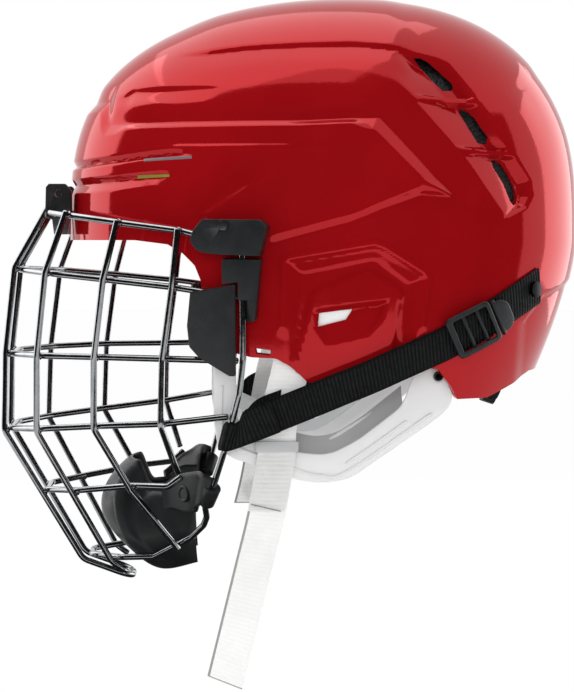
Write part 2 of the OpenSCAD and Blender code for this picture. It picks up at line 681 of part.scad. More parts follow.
// The bar leans on the outside of the wire that it crosses, from its middle
function outside(p, bar_dir, wire_dir) =
    let(n = unit(cross(bar_dir, wire_dir)), out = n * (p - [-40, 0, p[2]]) > 0 ? n : -n)
    p + weld * out;
function bar_line(k) =
    let(first = cross_at(k, 0),
        wire_dir = k == 0 ? [0, 1, 0] : unit(bar_top[min(k + 1, 3)] - bar_top[k - 1]),
        top = outside(bar_top[k], first - bar_top[k], wire_dir))
    concat([top + 1.5 * unit(top - first)], [for (j = [0 : 2]) cross_at(k, j)], bar_end[k]);
module bar(side, k) {
    mirrored(side) color(steel) wire(bar_line(k), 1.6 * bend_r);
}

// A cross wire's point, one wire inside the bar it is welded to
function inside_bar(points, i, bar_dir) =
    let(d = unit(points[min(i + 1, len(points) - 1)] - (i == 0 ? flip(points[0]) : points[i - 1])))
    2 * points[i] - outside(points[i], bar_dir, d);
function level_points(j) =
    j < 3 ? [for (k = [0 : 3]) cross_at(k, j)] : level_4;
function bar_dir_at(k, j) =
    j == 0 ? cross_at(k, 1) - bar_top[k]
    : j == 1 ? cross_at(k, 2) - cross_at(k, 0)
    : j == 2 ? (k < 2 ? bar_end[k][0] : level_4[2]) - cross_at(k, 1)
    : (k < 2 ? bar_end[k][0] : bar_end[2][1]) - cross_at(k, 2);
level_end = [
    [beside([-44.4, -27])], [beside([-44.2, -57.5])], [[-49, -83 * grow, -84.5]],
    [[-78.4, -57, cage_low + 42.5], [-71.5, -60, cage_low + 48]]
];
function hoop_half(j) =
    concat([for (k = [0 : (j < 3 ? 3 : 2)]) inside_bar(level_points(j), k, unit(bar_dir_at(k, j)))],
           level_end[j]);
module cross_wire(j) {
    half = hoop_half(j);
    color(steel) wire(concat(reversed(half), [for (p = half) flip(p)]), j < 3 ? hoop_r : bend_r);
}
// Black sleeve moulded on the frame wire, just under the side clip
function plan_dir(a, b) = unit([b[0] - a[0], b[1] - a[1], 0]);
sleeve_top = beside(side_line[1]);
sleeve_foot = beside(side_line[2]);
sleeve_up = unit(sleeve_top - sleeve_foot);
sleeve_turn = side_turn(-42, -20);
sleeve_in = 3.3;
sleeve_outline = [[-51, -8.6], [-33, -8.6], [-35.8, -37.8], [-38.2, -38.6], [-43.6, -38.6],
                  [-43.6, -19.6], [-51, -20.4]];
sleeve_bare = -28;
module against(o, across, up) {
    n = unit(cross(across, up));
    x = unit(cross(up, n));
    placed(x, up, n, o) children();
}
module sleeve(side) {
    o = sleeve_foot;
    mirrored(side) color(black)
    against(o, [cos(sleeve_turn), -sin(sleeve_turn), 0], sleeve_up)
    difference() {
        translate([0, 0, -sleeve_in]) linear_extrude(2 * sleeve_in)
            polygon([for (q = sleeve_outline) [(q[0] - o[0]) / cos(sleeve_turn), q[1] - o[2]]]);
        rotate([-90, 0, 0]) translate([0, 0, -5]) cylinder(h = 50, d = wire_d + 0.3, $fn = fine);
        translate([-5, -5, 0]) cube([10, sleeve_bare - o[2] + 5, 10]);
    }
}

// Plain side plate of the cage, clipped over the ends of the first two cross wires
plate_t = 2.6;
plate_outline = [[-66.2, -24.5], [-45.2, -20.6], [-45.2, -64.5], [-47.8, -64.5], [-62, -55.9],
                 [-66.7, -50.6], [-67.7, -40.6]];
module badge_plate(side) {
    function on_hoop(j, x) =
        let(a = hoop_half(j)[3], b = hoop_half(j)[4]) a + (b - a) * (x - a[0]) / (b[0] - a[0]);
    across = unit(on_hoop(0, -45) - on_hoop(0, -66));
    n = unit(cross(across, on_hoop(0, -62) - on_hoop(1, -62)));
    o = on_hoop(0, -45) + (wire_d / 2 + 0.15) * n;
    v = unit(cross(n, across));
    module outline() {
        polygon([for (q = plate_outline)
            let(u = (q[0] - o[0] - (q[1] - o[2]) / v[2] * v[0]) / across[0])
            [u, (q[1] - o[2] - u * across[2]) / v[2]]]);
    }
    mirrored(side) color(black)
    placed(across, v, n, o) linear_extrude(plate_t) outline();
}

// Chin cup, a moulded cup on two wings that clip round the frame wires
cup_back = -62;
cup_t = 2.4;
cup_turn = 88;
function cup_top(t) =
    cage_low + 52 - 15 * smooth((abs(t) - 28) / 22) + 6 * smooth((abs(t) - 60) / 20);
function cup_foot(t) = cage_low - 3.5 + 6.5 * pow(cos(1.6 * t), 2);
function cup_long(v) = 52 - (v < 0.5 ? 19 * pow((0.5 - v) / 0.5, 2) : 15 * pow((v - 0.5) / 0.5, 2));
function cup_wide(v) = 38 - (v < 0.5 ? 9 * pow((0.5 - v) / 0.5, 2) : 0);
function cup_point(t, v, inset) =
    [cup_back - (cup_long(v) - inset) * pow(cos(t), 0.85),
     -(cup_wide(v) - inset) * spow(sin(t), 0.85), cup_foot(t) + v * (cup_top(t) - cup_foot(t))];
function cup_grid(low, high, turn, inset, cols, rows) =
    [for (i = [0 : rows]) [for (j = [-cols : cols])
        cup_point(turn * j / cols, low + (high - low) * i / rows, inset)]];
wing_foot = [[-76, -36.8, 30], [-71, -43.5, 29], [-67, -49.5, 29.5], [-64.5, -54.5, 30.5], [-62.5, -58 * grow, 32]];
wing_head = [[-78, -36.4, 40], [-72.5, -45.5, 46.5], [-67.5, -53.5, 48.5], [-62.5, -62.5, 50], [-57.6, -70.2 * grow, 49]];
wing_t = 2.2;
ring_at = (loop_end + ring_end) / 2;
ring_w = 12;
ring_d = 8.4;
function wing_row(i, out) =
    let(d = unit(wing_foot[min(i + 1, 4)] - wing_foot[max(i - 1, 0)]),
        n = unit(cross(d, wing_head[i] - wing_foot[i])))
    [for (p = [wing_head[i], wing_foot[i]]) p + [0, 0, cage_low] + out * n];
module chin_cup() {
    color(black) {
        slab(cup_grid(0, 1, cup_turn, 0, 12, 8), cup_grid(0, 1, cup_turn, cup_t, 12, 8));
        for (side = SIDES) mirrored(side)
            difference() {
                union() {
                    slab([for (i = [0 : 4]) wing_row(i, wing_t)], [for (i = [0 : 4]) wing_row(i, 0)]);
                    chin_ring(ring_d, ring_w);
                }
                chin_ring(wire_d + 0.3, ring_w + 8);
            }
    }
}
module chin_ring(d, long) {
    dir = unit(loop_end - ring_at);
    side = first_side(dir);
    placed(side, cross(dir, side), dir, ring_at - long / 2 * dir) cylinder(h = long, d = d, $fn = fine);
}

// Soft pad that lines the chin cup
chin_pad_t = 5;
module chin_pad() {
    color(grey)
    slab(cup_grid(0.12, 0.93, 70, cup_t + 1.3 * gap, 10, 6), cup_grid(0.12, 0.93, 70, cup_t + 1.3 * gap + chin_pad_t, 10, 6));
}

// End of the harness strap, folded round the frame wire, swings with the cage
fold_out = [[[-30, -76.8], [-24, -91.6], 87.7 * grow], [[-41, -81.1], [-35, -95.9], 86.8 * grow]];
fold_wrap = [[3, 1.9, 0, 1], [-1.2, 1.9, -0.5, 0.85], [-2.1, 0, -1, 0], [-1.2, -1.9, -0.5, -0.85],
             [3, -1.9, 0, -1]];
fold_wrap_z = [-87.4, -101];
fold_back = [[[-36, -77], [-36, -90], 82.9 * grow], [[-23.5, -71.5], [-24.5, -83], 83.9 * grow]];
function loop_wire(z) =
    let(t = (z - loop_from[2]) / (loop_to[2] - loop_from[2])) loop_from + t * (loop_to - loop_from);
function fold_flat(row, out) =
    [for (t = [1, 0.5, 0])
        let(p = row[0] + t * (row[1] - row[0])) [p[0], -row[2] - out, p[1]]];
function fold_round(row, thick) =
    [for (t = [1, 0.5, 0])
        let(c = loop_wire(fold_wrap_z[0] + t * (fold_wrap_z[1] - fold_wrap_z[0])))
        [c[0] + row[0] + thick * row[2], c[1] - row[1] - thick * row[3], c[2]]];
function fold_grid(thick) =
    concat([for (r = fold_out) fold_flat(r, thick)], [for (r = fold_wrap) fold_round(r, thick)],
           [for (r = fold_back) fold_flat(r, -thick)]);
module cage_loop(side) {
    mirrored(side) color(black)
    slab(fold_grid(harness_t), fold_grid(0));
}

outer_shell();
front_liner();
side_liner(-1);  // left_liner
side_liner(1);  // right_liner
rear_liner();
crown_liner();
forehead_pad();
temple_pad(-1);  // left_temple_pad
temple_pad(1);  // right_temple_pad
vent_screens(-1);  // left_vent_screens
vent_screens(1);  // right_vent_screens
ear_guard(-1);  // left_ear_guard
ear_guard(1);  // right_ear_guard
shell_rivets();
forehead_clip(-1);  // left_forehead_clip
forehead_clip(1);  // right_forehead_clip
forehead_saddles();
side_clip(-1);  // left_side_clip
side_clip(1);  // right_side_clip
side_clip_screws();
harness_strap(-1);  // left_harness_strap
harness_strap(1);  // right_harness_strap
buckle(-1);  // left_buckle
buckle(1);  // right_buckle
buckle_lever(-1);  // left_buckle_lever
buckle_lever(1);  // right_buckle_lever
webbing(-1);  // left_webbing
webbing(1);  // right_webbing
strap_bar(-1);  // left_strap_bar
strap_bar(1);  // right_strap_bar
chin_strap(-1, loose_end);  // long_chin_strap
chin_strap(1, short_drop);  // short_chin_strap
chin_strap_slider();
cradle_carrier();
nape_cradle();
nape_pad();
fit_dial();
brow_wire();
frame_wire(-1);  // left_frame_wire
frame_wire(1);  // right_frame_wire
bar(-1, 0);  // left_bar_1
bar(-1, 1);  // left_bar_2
bar(-1, 2);  // left_bar_3
bar(-1, 3);  // left_bar_4
bar(1, 0);  // right_bar_1
bar(1, 1);  // right_bar_2
bar(1, 2);  // right_bar_3
bar(1, 3);  // right_bar_4
cross_wire(0);  // cross_wire_1
cross_wire(1);  // cross_wire_2
cross_wire(2);  // cross_wire_3
cross_wire(3);  // cross_wire_4
sleeve(-1);  // left_sleeve
sleeve(1);  // right_sleeve
badge_plate(-1);  // left_side_plate
badge_plate(1);  // right_side_plate
chin_cup();
chin_pad();
cage_loop(-1);  // left_cage_loop
cage_loop(1);  // right_cage_loop
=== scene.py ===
import math
import bmesh
import bpy
import numpy as np
from mathutils import Matrix, Vector


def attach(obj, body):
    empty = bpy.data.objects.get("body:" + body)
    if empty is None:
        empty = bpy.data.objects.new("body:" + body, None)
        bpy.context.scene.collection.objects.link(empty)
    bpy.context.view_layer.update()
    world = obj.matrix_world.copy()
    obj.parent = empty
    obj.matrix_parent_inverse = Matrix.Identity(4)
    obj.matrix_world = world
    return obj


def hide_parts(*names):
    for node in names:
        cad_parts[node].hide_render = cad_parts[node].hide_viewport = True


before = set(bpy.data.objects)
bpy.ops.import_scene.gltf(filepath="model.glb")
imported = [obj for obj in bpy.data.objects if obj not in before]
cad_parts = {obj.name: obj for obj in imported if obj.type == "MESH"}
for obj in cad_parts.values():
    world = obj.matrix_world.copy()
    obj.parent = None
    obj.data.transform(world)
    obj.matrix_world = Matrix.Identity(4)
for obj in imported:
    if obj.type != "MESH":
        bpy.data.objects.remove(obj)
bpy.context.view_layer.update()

scene = bpy.context.scene
scene.view_settings.view_transform = "Standard"


# Camera
# Stands level with the brow, a little over a metre to the wearer's left, as for a catalogue
# picture. The long lens keeps the far side of the cage almost behind the near side.
VIEW_YAW, VIEW_PITCH = math.radians(2.487), math.radians(-3.12)
CAMERA_AT = (-0.06235, -1.04, 0.00156)
camera_data = bpy.data.cameras.new("photo_camera")
camera_data.lens = 104.05
camera_data.sensor_width = 36
camera_data.clip_end = 20
camera = bpy.data.objects.new("photo_camera", camera_data)
forward = Vector((math.sin(VIEW_YAW) * math.cos(VIEW_PITCH),
                  math.cos(VIEW_YAW) * math.cos(VIEW_PITCH), math.sin(VIEW_PITCH)))
right = Vector((math.cos(VIEW_YAW), -math.sin(VIEW_YAW), 0))
camera.matrix_world = Matrix.Translation(CAMERA_AT) @ Matrix(
    (right, right.cross(forward), -forward)).transposed().to_4x4()
scene.collection.objects.link(camera)
scene.camera = camera


# Floor, backdrop and lamps
# A pale floor in a white room, lit by softboxes. A dark card lies and stands round the camera's side,
# and a dark disc lies under the helmet. Only gloss sees them, and they keep the red paint deep.
FLOOR_Z, FLOOR_WHITE, AMBIENT = -0.36, 0.97, 0.6


def linear(hex_colour):
    """sRGB hex to the linear colour that a shader takes."""
    parts = [int(hex_colour[i:i + 2], 16) / 255 for i in (1, 3, 5)]
    return tuple(c / 12.92 if c <= 0.04045 else ((c + 0.055) / 1.055) ** 2.4 for c in parts) + (1.0,)


def feed(node, inputs):
    """Gives a node its input values and links."""
    for key, value in inputs.items():
        if isinstance(value, bpy.types.NodeSocket):
            node.id_data.links.new(value, node.inputs[key])
        else:
            node.inputs[key].default_value = value


def add(tree, kind, inputs=None, stops=(), **settings):
    """Adds a node with its settings, input values, links and colour stops."""
    node = tree.nodes.new("ShaderNode" + kind)
    for key, value in settings.items():
        setattr(node, key, value)
    feed(node, inputs or {})
    for number, (place, hex_colour) in enumerate(stops):
        stop = node.color_ramp.elements[number]
        stop.position, stop.color = place, linear(hex_colour)
    return node


def seen_white(tree, base, white, strength):
    """Mixes a shader with a white one where the camera, gloss or glass sees it."""
    path = add(tree, "LightPath")
    seen = add(tree, "Math", {0: path.outputs["Is Camera Ray"], 1: path.outputs["Is Glossy Ray"]},
               operation="MAXIMUM")
    seen = add(tree, "Math", {0: seen.outputs[0], 1: path.outputs["Is Transmission Ray"]},
               operation="MAXIMUM")
    share = add(tree, "Math", {0: seen.outputs[0], 1: strength}, operation="MULTIPLY")
    return add(tree, "MixShader", {0: share.outputs[0], 1: base.outputs[0], 2: white.outputs[0]})


room = bpy.data.worlds.new("white_room")
room.use_nodes = True
scene.world = room
tree = room.node_tree
tree.nodes.clear()
ambient = add(tree, "Background", {"Color": linear("#ffffff"), "Strength": AMBIENT})
white = add(tree, "Background", {"Color": linear("#ffffff"), "Strength": 1.0})
add(tree, "OutputWorld", {"Surface": seen_white(tree, ambient, white, 1.0).outputs[0]})

bpy.ops.mesh.primitive_circle_add(vertices=96, radius=9, fill_type="NGON", location=(0, 0, FLOOR_Z))
floor = bpy.context.object
floor.name = "studio_floor"
paint = bpy.data.materials.new("matt_white_floor_paint")
paint.use_nodes = True
tree = paint.node_tree
tree.nodes.clear()
matt = add(tree, "BsdfDiffuse", {"Color": linear("#f6f6f6")})
white = add(tree, "Emission", {"Color": linear("#ffffff"), "Strength": 1.0})
add(tree, "OutputMaterial", {"Surface": seen_white(tree, matt, white, FLOOR_WHITE).outputs[0]})
floor.data.materials.append(paint)

# Turns are in degrees from straight behind the camera, and the card's top edge is highest there
CARD_RADIUS, CARD_NEAR, DISC_RADIUS = 2.4, 0.9, 0.44
CARD_FROM, CARD_TO, CARD_STEPS, CARD_PEAK = -92, 77, 48, 67
card_paper = bpy.data.materials.new("black_card")
card_paper.use_nodes = True
feed(card_paper.node_tree.nodes["Principled BSDF"], {"Base Color": linear("#0b0b0c"), "Roughness": 0.9})
card_z = FLOOR_Z + 0.02
corners, faces = [(0, 0, card_z)], []
for i in range(2 * CARD_STEPS + 1):
    # The card spans the first half of the steps, and the disc goes all the way round
    if i <= CARD_STEPS:
        turn = CARD_FROM + (CARD_TO - CARD_FROM) * i / CARD_STEPS
    else:
        turn = CARD_TO + (360 + CARD_FROM - CARD_TO) * (i - CARD_STEPS) / CARD_STEPS
    x, y = math.sin(math.radians(turn)), -math.cos(math.radians(turn))
    end_height, spread = (46, 35) if turn < 0 else (30, 45)
    top = math.tan(math.radians(end_height + (CARD_PEAK - end_height) * math.exp(-(turn / spread) ** 2)))
    corners += [(r * x, r * y, card_z) for r in (DISC_RADIUS, CARD_NEAR, CARD_RADIUS)]
    corners.append((CARD_RADIUS * x, CARD_RADIUS * y, CARD_RADIUS * top))
    a, b = 4 * i - 3, 4 * i + 1
    if i:
        faces.append((0, b, a))
    if 0 < i <= CARD_STEPS:
        faces += [(a + 1, b + 1, b + 2, a + 2), (a + 2, b + 2, b + 3, a + 3)]
mesh = bpy.data.meshes.new("dark_card")
mesh.from_pydata(corners, [], faces)
card = bpy.data.objects.new("dark_card", mesh)
mesh.materials.append(card_paper)
scene.collection.objects.link(card)
card.visible_camera = card.visible_diffuse = card.visible_shadow = card.visible_transmission = False

for name, place, size, watts in (("top_softbox", (-0.35, 0.1, 1.5), (2.1, 1.6), 12),
                                 ("front_softbox", (-1.38, 0.55, 0.6), (1.2, 1.8), 10),
                                 ("rear_softbox", (1.3, 0.69, 0.2), (1.2, 1.3), 9),
                                 ("camera_softbox", (-0.1, -1.9, 0.5), (1.6, 0.9), 10),
                                 ("far_softbox", (0.1, 1.9, 0.4), (1.6, 0.9), 6)):
    lamp_data = bpy.data.lights.new(name, "AREA")
    lamp_data.shape = "RECTANGLE"
    lamp_data.size, lamp_data.size_y = size
    lamp_data.energy = watts
    lamp = bpy.data.objects.new(name, lamp_data)
    lamp.location = place
    lamp.rotation_euler = (-Vector(place)).to_track_quat("-Z", "Y").to_euler()
    scene.collection.objects.link(lamp)
for name in ("camera_softbox", "far_softbox"):
    bpy.data.objects[name].visible_glossy = False


# Outer shell
# One injection-moulded shell of ABS, 3.2 mm thick, polished and lacquered a pearl red. Its mesh is
# dense enough for the moulded creases of crown, vent channel, sides, ear arch and brow, and the vents,
# ear holes and tab slots are cut through it.
MM = 0.001
SHELL_FRONT, SHELL_REAR, SHELL_WIDTH, CROWN_HEIGHT = 129.0, 132.0, 190.0, 123.0
SHELL_WALL, BAND_RISE = 3.2, 0.9
WIDE_X, PLAN_P, TUCK_Z = 15.0, 2.2, 75.0
RISE, ROUND, TUCK = (3.25, 2.6, 2.8), (2.0, 2.2, 2.3), (0.1, 0.09, 0.2)


def ramp(t):
    """Rises straight from 0 to 1."""
    return np.clip(t, 0, 1)


def smooth(t):
    """Rises from 0 to 1 with soft ends."""
    u = np.clip(t, 0, 1)
    return u * u * (3 - 2 * u)


def dome_share(c2, ahead, z):
    """How wide the dome still is at a height, as a share of its plan at the brow."""
    rise, round_, tuck = (s + (np.where(ahead, f, r) - s) * c2 for f, s, r in (RISE, ROUND, TUCK))
    up = np.power(np.clip(1 - np.power(np.clip(z, 0, None) / CROWN_HEIGHT, rise), 0, 1), 1 / round_)
    down = 1 - tuck * np.power(np.clip(-z, 0, None) / TUCK_Z, 1.5)
    return np.where(z > 0, up, down)


def dome(turn, z, share=None):
    """A point of the plain dome by its turn about the head in radians and its height in mm."""
    c, s = np.cos(turn), np.sin(turn)
    ahead = c > 0
    if share is None:
        share = dome_share(c * c, ahead, z)
    half = np.where(ahead, SHELL_FRONT + WIDE_X, SHELL_REAR - WIDE_X)
    x = WIDE_X - half * share * np.sign(c) * np.abs(c) ** (2 / PLAN_P)
    y = -SHELL_WIDTH / 2 * share * np.sign(s) * np.abs(s) ** (2 / PLAN_P)
    return np.stack([x, y, z + 0 * x], -1)


def side_y(x, z, inset=0.0):
    """Half the shell's width in mm at a place seen from the side."""
    x, z = np.asarray(x, float), np.asarray(z, float)
    ahead = x < WIDE_X
    half = np.where(ahead, SHELL_FRONT + WIDE_X, SHELL_REAR - WIDE_X) - inset
    u = np.minimum(np.abs(x - WIDE_X) / half, 1)
    share = np.maximum(dome_share(u ** PLAN_P, ahead, z), 1e-6)
    return (SHELL_WIDTH / 2 - inset) * share * np.maximum(0, 1 - (u / share) ** PLAN_P) ** (1 / PLAN_P)


def gap_to(x, z, line, closed=False):
    """Distance in mm to a line seen from the side. Plus lies above a line drawn from the front,
    or inside a closed outline drawn clockwise."""
    ends = np.array(line + line[:1] if closed else line, float)
    best = np.full(x.shape, 1e9)
    sign = np.ones(x.shape)
    inside = np.zeros(x.shape, bool)
    for (ax, az), (bx, bz) in zip(ends[:-1], ends[1:]):
        dx, dz = bx - ax, bz - az
        t = np.clip(((x - ax) * dx + (z - az) * dz) / (dx * dx + dz * dz), 0, 1)
        d = np.hypot(x - ax - t * dx, z - az - t * dz)
        nearer = d < best
        best = np.where(nearer, d, best)
        sign = np.where(nearer, np.sign(dx * (z - az) - dz * (x - ax) + 1e-9), sign)
        if closed:
            crosses = ((az > z) != (bz > z)) & (x < dx * (z - az) / (dz if dz else 1e-9) + ax)
            inside ^= crosses
    if closed:
        sign = np.where(inside, 1, -1)
    return best * sign


# The moulded lines and openings as x and z in mm, measured from the side
BAND = [(-72, 90), (-62, 90.3), (-38, 92.6), (-16, 93.5), (12, 94.2), (36, 92), (53, 88), (58, 85.7),
        (69, 71.5), (86.5, 46), (98.5, 29), (99.7, 21.5), (96, 15.6), (84, 9.7)]
CHANNEL_LEFT = [(25, 85.3), (39, 70.4), (41.6, 65.6), (60, 43.2), (84, 13), (84, 9.7)]
CHANNEL = [(25, 85.3), (36, 92), (53, 88), (58, 85.7), (69, 71.5), (86.5, 46), (98.5, 29), (99.7, 21.5),
           (96, 15.6), (84, 9.7), (84, 13), (60, 43.2), (41.6, 65.6), (39, 70.4)]
PANEL = [(-220, 57.2), (-62, 57.2), (-17, 57.3), (23.2, 59.2), (61, 20), (43.3, 21.5), (8.2, 8.1),
         (-15.3, 2), (-30, -2), (-60, -9), (-220, -9)]
TEMPLE = [(-60, 9), (-62.6, 13), (-40.4, 27.2), (-27, 36)]
ARCH = [(-24.3, -95), (-24.3, -49), (-23.6, -9.8), (-21.7, -7.4), (17, -0.8), (21.3, -0.3), (26.1, -2.2),
        (45.5, -14.6), (47.5, -17.9), (46.2, -28.9), (44.1, -44.3), (40, -95)]
ARCH_PLATE = [(-18.5, -95), (-18.1, -58), (-9.8, -24.5), (17.6, -13.1), (33.5, -22.6), (34.5, -26),
              (31.5, -48.5), (29, -95)]
POCKET = [(-7.5, -33.5), (27, -28.8), (24.3, -38), (17.7, -45.6), (-2, -50), (-7, -42)]
EAR_HOLE = [(-5.7, -34.7), (10.4, -32.7), (7.1, -37.9), (-6.2, -41.3)]
VENTS = [[(40.9, 87.8), (44.4, 87.8), (47.9, 86.0), (52.8, 81.9), (59.1, 76.0), (60.2, 73.3),
          (59.1, 72.0), (54.9, 71.9), (50.0, 76.7), (44.4, 83.3)],
         [(62.5, 63.2), (66.4, 62.6), (69.9, 59.2), (73.8, 53.6), (76.8, 49.5), (76.2, 46.8),
          (74.5, 46.3), (71.3, 46.8), (66.4, 55.0), (62.9, 60.5)],
         [(78.2, 38.6), (80.6, 38.6), (83.4, 36.8), (86.9, 32.0), (90.5, 25.1), (91.7, 20.9),
          (91.2, 17.8), (89.5, 16.8), (87.7, 18.8), (84.2, 27.2), (79.2, 34.8)]]
BROW_SLOTS = [[(-89.4, 38), (-66.2, 39), (-66.6, 40.4), (-89, 39.4)],
              [(-92.5, 29.8), (-77.6, 30.4), (-77, 31.7), (-91, 31.4)]]
TAB_SLOT = [(-36.2, -51.6), (-28.8, -52.4), (-28.8, -55), (-35.6, -54.2)]


def moulding(p):
    """How far the moulded detail stands out from the plain dome, in mm, at points of the dome."""
    x, y, z = p[..., 0], np.abs(p[..., 1]), p[..., 2]
    # Crown band: a raised middle with a crisp edge, and a shallow hollow under it
    band = gap_to(x, z, BAND)
    fade = smooth((x + 76) / 26) * (1 - smooth((x - 30) / 14))
    h = fade * (BAND_RISE * ramp(band / 1.5) * (1 - smooth((band - 20) / 22))
                - 0.5 * np.where(band < 0, 1 - smooth(-band / 9), 0))
    # Vent channel: slopes in from its front edge to a steep rear wall, with two ribs across it
    inside = gap_to(x, z, CHANNEL, closed=True)
    front_edge = np.abs(gap_to(x, z, CHANNEL_LEFT))
    rear_wall = np.abs(gap_to(x, z, BAND[5:]))
    deep = np.minimum(5.2 * ramp(front_edge / 15), 5.2 * ramp(rear_wall / 4.0))
    rib = np.zeros(x.shape)
    for rib_z, lean in ((67.6, -0.03), (43.2, -0.05)):
        rib = np.maximum(rib, 1 - smooth((np.abs(z - rib_z - lean * (x - 60)) - 1.0) / 1.3))
    deep = deep * (1 - 0.7 * rib) * smooth((np.hypot(x - 27, z - 88.6) - 3) / 15)
    h = h - np.where(inside > 0, deep, 0)
    # Side panel: proud of the crown above it, of the strip behind it and of the ear below it
    edge_z = 12.5 * smooth((47 - y) / 14) * (x < -70)
    panel = gap_to(x, z - edge_z, PANEL, closed=True)
    bevel = 2.8 + 3.9 * smooth((x - 8) / 12) * smooth((z - 22) / 8) + 3 * smooth((-98 - x) / 8) \
        + 1.4 * (1 - smooth((z - 22) / 8))
    outside = np.where(panel < 0, -panel, 0)
    reach = 9 + 9 * smooth((x - 10) / 20)
    step = np.where(panel < 0, 1 - smooth(outside / reach), 1 - ramp(panel / bevel))
    behind = smooth((x - 64) / 10)
    step = step * (1 - behind) * np.where(z < 30, smooth((x + 34) / 8), 1) * (panel > -60)
    drop = 1.35 + 0.4 * smooth((x - 10) / 30) + (0.35 + 0.9 * smooth((x + 30) / 30)) * smooth((z - 12) / 12)
    h = h - drop * step * np.where(inside > 0, 0, 1)
    # Temple crease: the panel rises again behind a slanted edge over the side clip
    temple = gap_to(x, z, TEMPLE)
    t_fade = 1 - smooth((x + 48) / 22)
    h = h - 1.4 * t_fade * np.where(temple > 0, (1 - smooth(temple / 13)), 1 - ramp(-temple / 2.2)) \
        * smooth((z - 5) / 5) * (1 - smooth((-66 - x) / 10))
    # Thin ridge along the panel, and the fold on the crown's front quarter
    for line_z, x_in, x_out, height, rise in ((44.4, -80, 8, 0.75, 2.3), (72.9, -103, -48, 0.9, -1.4)):
        d = z - line_z + (3 * smooth((-94 - x) / 7) if rise < 0 else 0)
        along = smooth((x - x_in) / 7) * (1 - smooth((x - x_out + 34) / 34))
        if rise > 0:
            cut = np.where(d > rise, 1 - smooth((d - rise) / 8), ramp(d / rise))
        else:
            cut = np.where(d > 0, 1 - ramp(d / -rise), 1 - smooth(-d / 8))
        h = h - height * along * cut * (x < 30)
    # Brow grooves: each runs in under a drooping wall and comes out on a ledge that faces up
    for base, climb, deep_by, above, ledge, x_out in ((37.3, 4.6, 2.0, 2.8, 1.8, -62),
                                                      (27.6, 3.6, 2.3, 3.2, 4.6, -70)):
        d = z - (base + climb * smooth((x + 128) / 62))
        cut = np.where(d > 0, 1 - ramp(d / above), 1 - ramp(-d / ledge))
        h = h - deep_by * cut * (1 - smooth((x - x_out + 14) / 14)) * (x < -40)
    # Ear arch: a thin raised line, a hollow inside it, a plate in the hollow and the ear's pocket
    ear = z < 20
    arch = gap_to(x, z, ARCH, closed=True)
    low = smooth((z + 47) / 6)
    h = h + ear * low * 0.8 * ramp((arch + 1.0) / 1.0) * ramp((3.0 - arch) / 1.2)
    under = np.clip(-z - 12, 0, None)
    hollow = -2.2 * smooth((arch - 2.2) / 8) - 0.05 * under * smooth((arch - 2.2) / 9)
    plate = gap_to(x, z, ARCH_PLATE, closed=True)
    pocket = (2.4 + 0.07 * np.clip(z + 30, -20, 2)) * ramp(gap_to(x, z, POCKET, closed=True) / 1.8)
    h = h + ear * np.where(arch > 0, hollow + 1.3 * ramp(plate / 1.4) - pocket, 0)
    # Back of the head: the crown's cap ends in a fold, and the lower edge steps in
    cap_z = np.interp(y, [0, 38, 61, 75], [92.9, 89.1, 79.3, 74])
    d = cap_z - z
    h = h - (x > 60) * 0.7 * smooth(d / 8) * (1 - smooth((d - 8) / 34)) * (1 - smooth((y - 52) / 14)) \
        * (band > 0)
    low_z = np.interp(y, [0, 39, 57, 64], [-18.5, -21, -26, -38])
    h = h - smooth((x - 92) / 8) * 1.3 * ramp((low_z - z) / 3.5)
    return h


RIM = [(-150, 0), (-94, 0), (-78, -2), (-71, -6), (-65, -12), (-61.8, -20), (-60.6, -34), (-54, -46),
       (-46, -54), (-38, -56), (-26, -56.5), (-20, -60), (-11, -69), (10, -68), (45, -61), (52, -62),
       (59, -71), (62, -77), (78, -77), (90, -72), (104, -66), (140, -66)]
# Rows of points follow the rim up to LEVEL_FROM, then run level up to CAP_Z, then close over the crown
COLUMNS, FOOT_ROWS, SIDE_ROWS, CAP_ROWS, LEVEL_FROM, CAP_Z = 680, 70, 146, 40, 8.0, 108.0

turns = np.linspace(0, 2 * np.pi, COLUMNS, endpoint=False)
rim_x, rim_z = np.array(RIM, float).T
foot = np.zeros(COLUMNS)
for _ in range(30):
    # Each pass moves the lowest row halfway to the rim's height above where it now stands
    foot = 0.5 * foot + 0.5 * np.interp(dome(turns, foot)[:, 0], rim_x, rim_z)
foot_rows = foot + np.linspace(0, 1, FOOT_ROWS)[:, None] * (LEVEL_FROM - foot)
level_rows = np.linspace(LEVEL_FROM, CAP_Z, SIDE_ROWS)[1:, None] + 0 * foot
rows = dome(turns[None, :], np.concatenate([foot_rows, level_rows]))
c2, ahead = np.cos(turns) ** 2, np.cos(turns) > 0
rise, round_ = (s + (np.where(ahead, f, r) - s) * c2 for f, s, r in (RISE, ROUND))
shrink = (1 - np.linspace(0, 1, CAP_ROWS + 1)[1:-1])[:, None]
cap_s = dome_share(c2, ahead, np.full(COLUMNS, CAP_Z)) * shrink
cap_z = CROWN_HEIGHT * np.power(1 - np.power(cap_s, round_), 1 / rise)
rows = np.concatenate([rows, dome(turns[None, :], cap_z, cap_s)])


def normals_of(grid):
    """Outward directions over a grid that closes round the head."""
    across = np.roll(grid, -1, 1) - np.roll(grid, 1, 1)
    up = np.gradient(grid, axis=0)
    n = np.cross(up, across)
    return n / np.linalg.norm(n, axis=-1, keepdims=True)


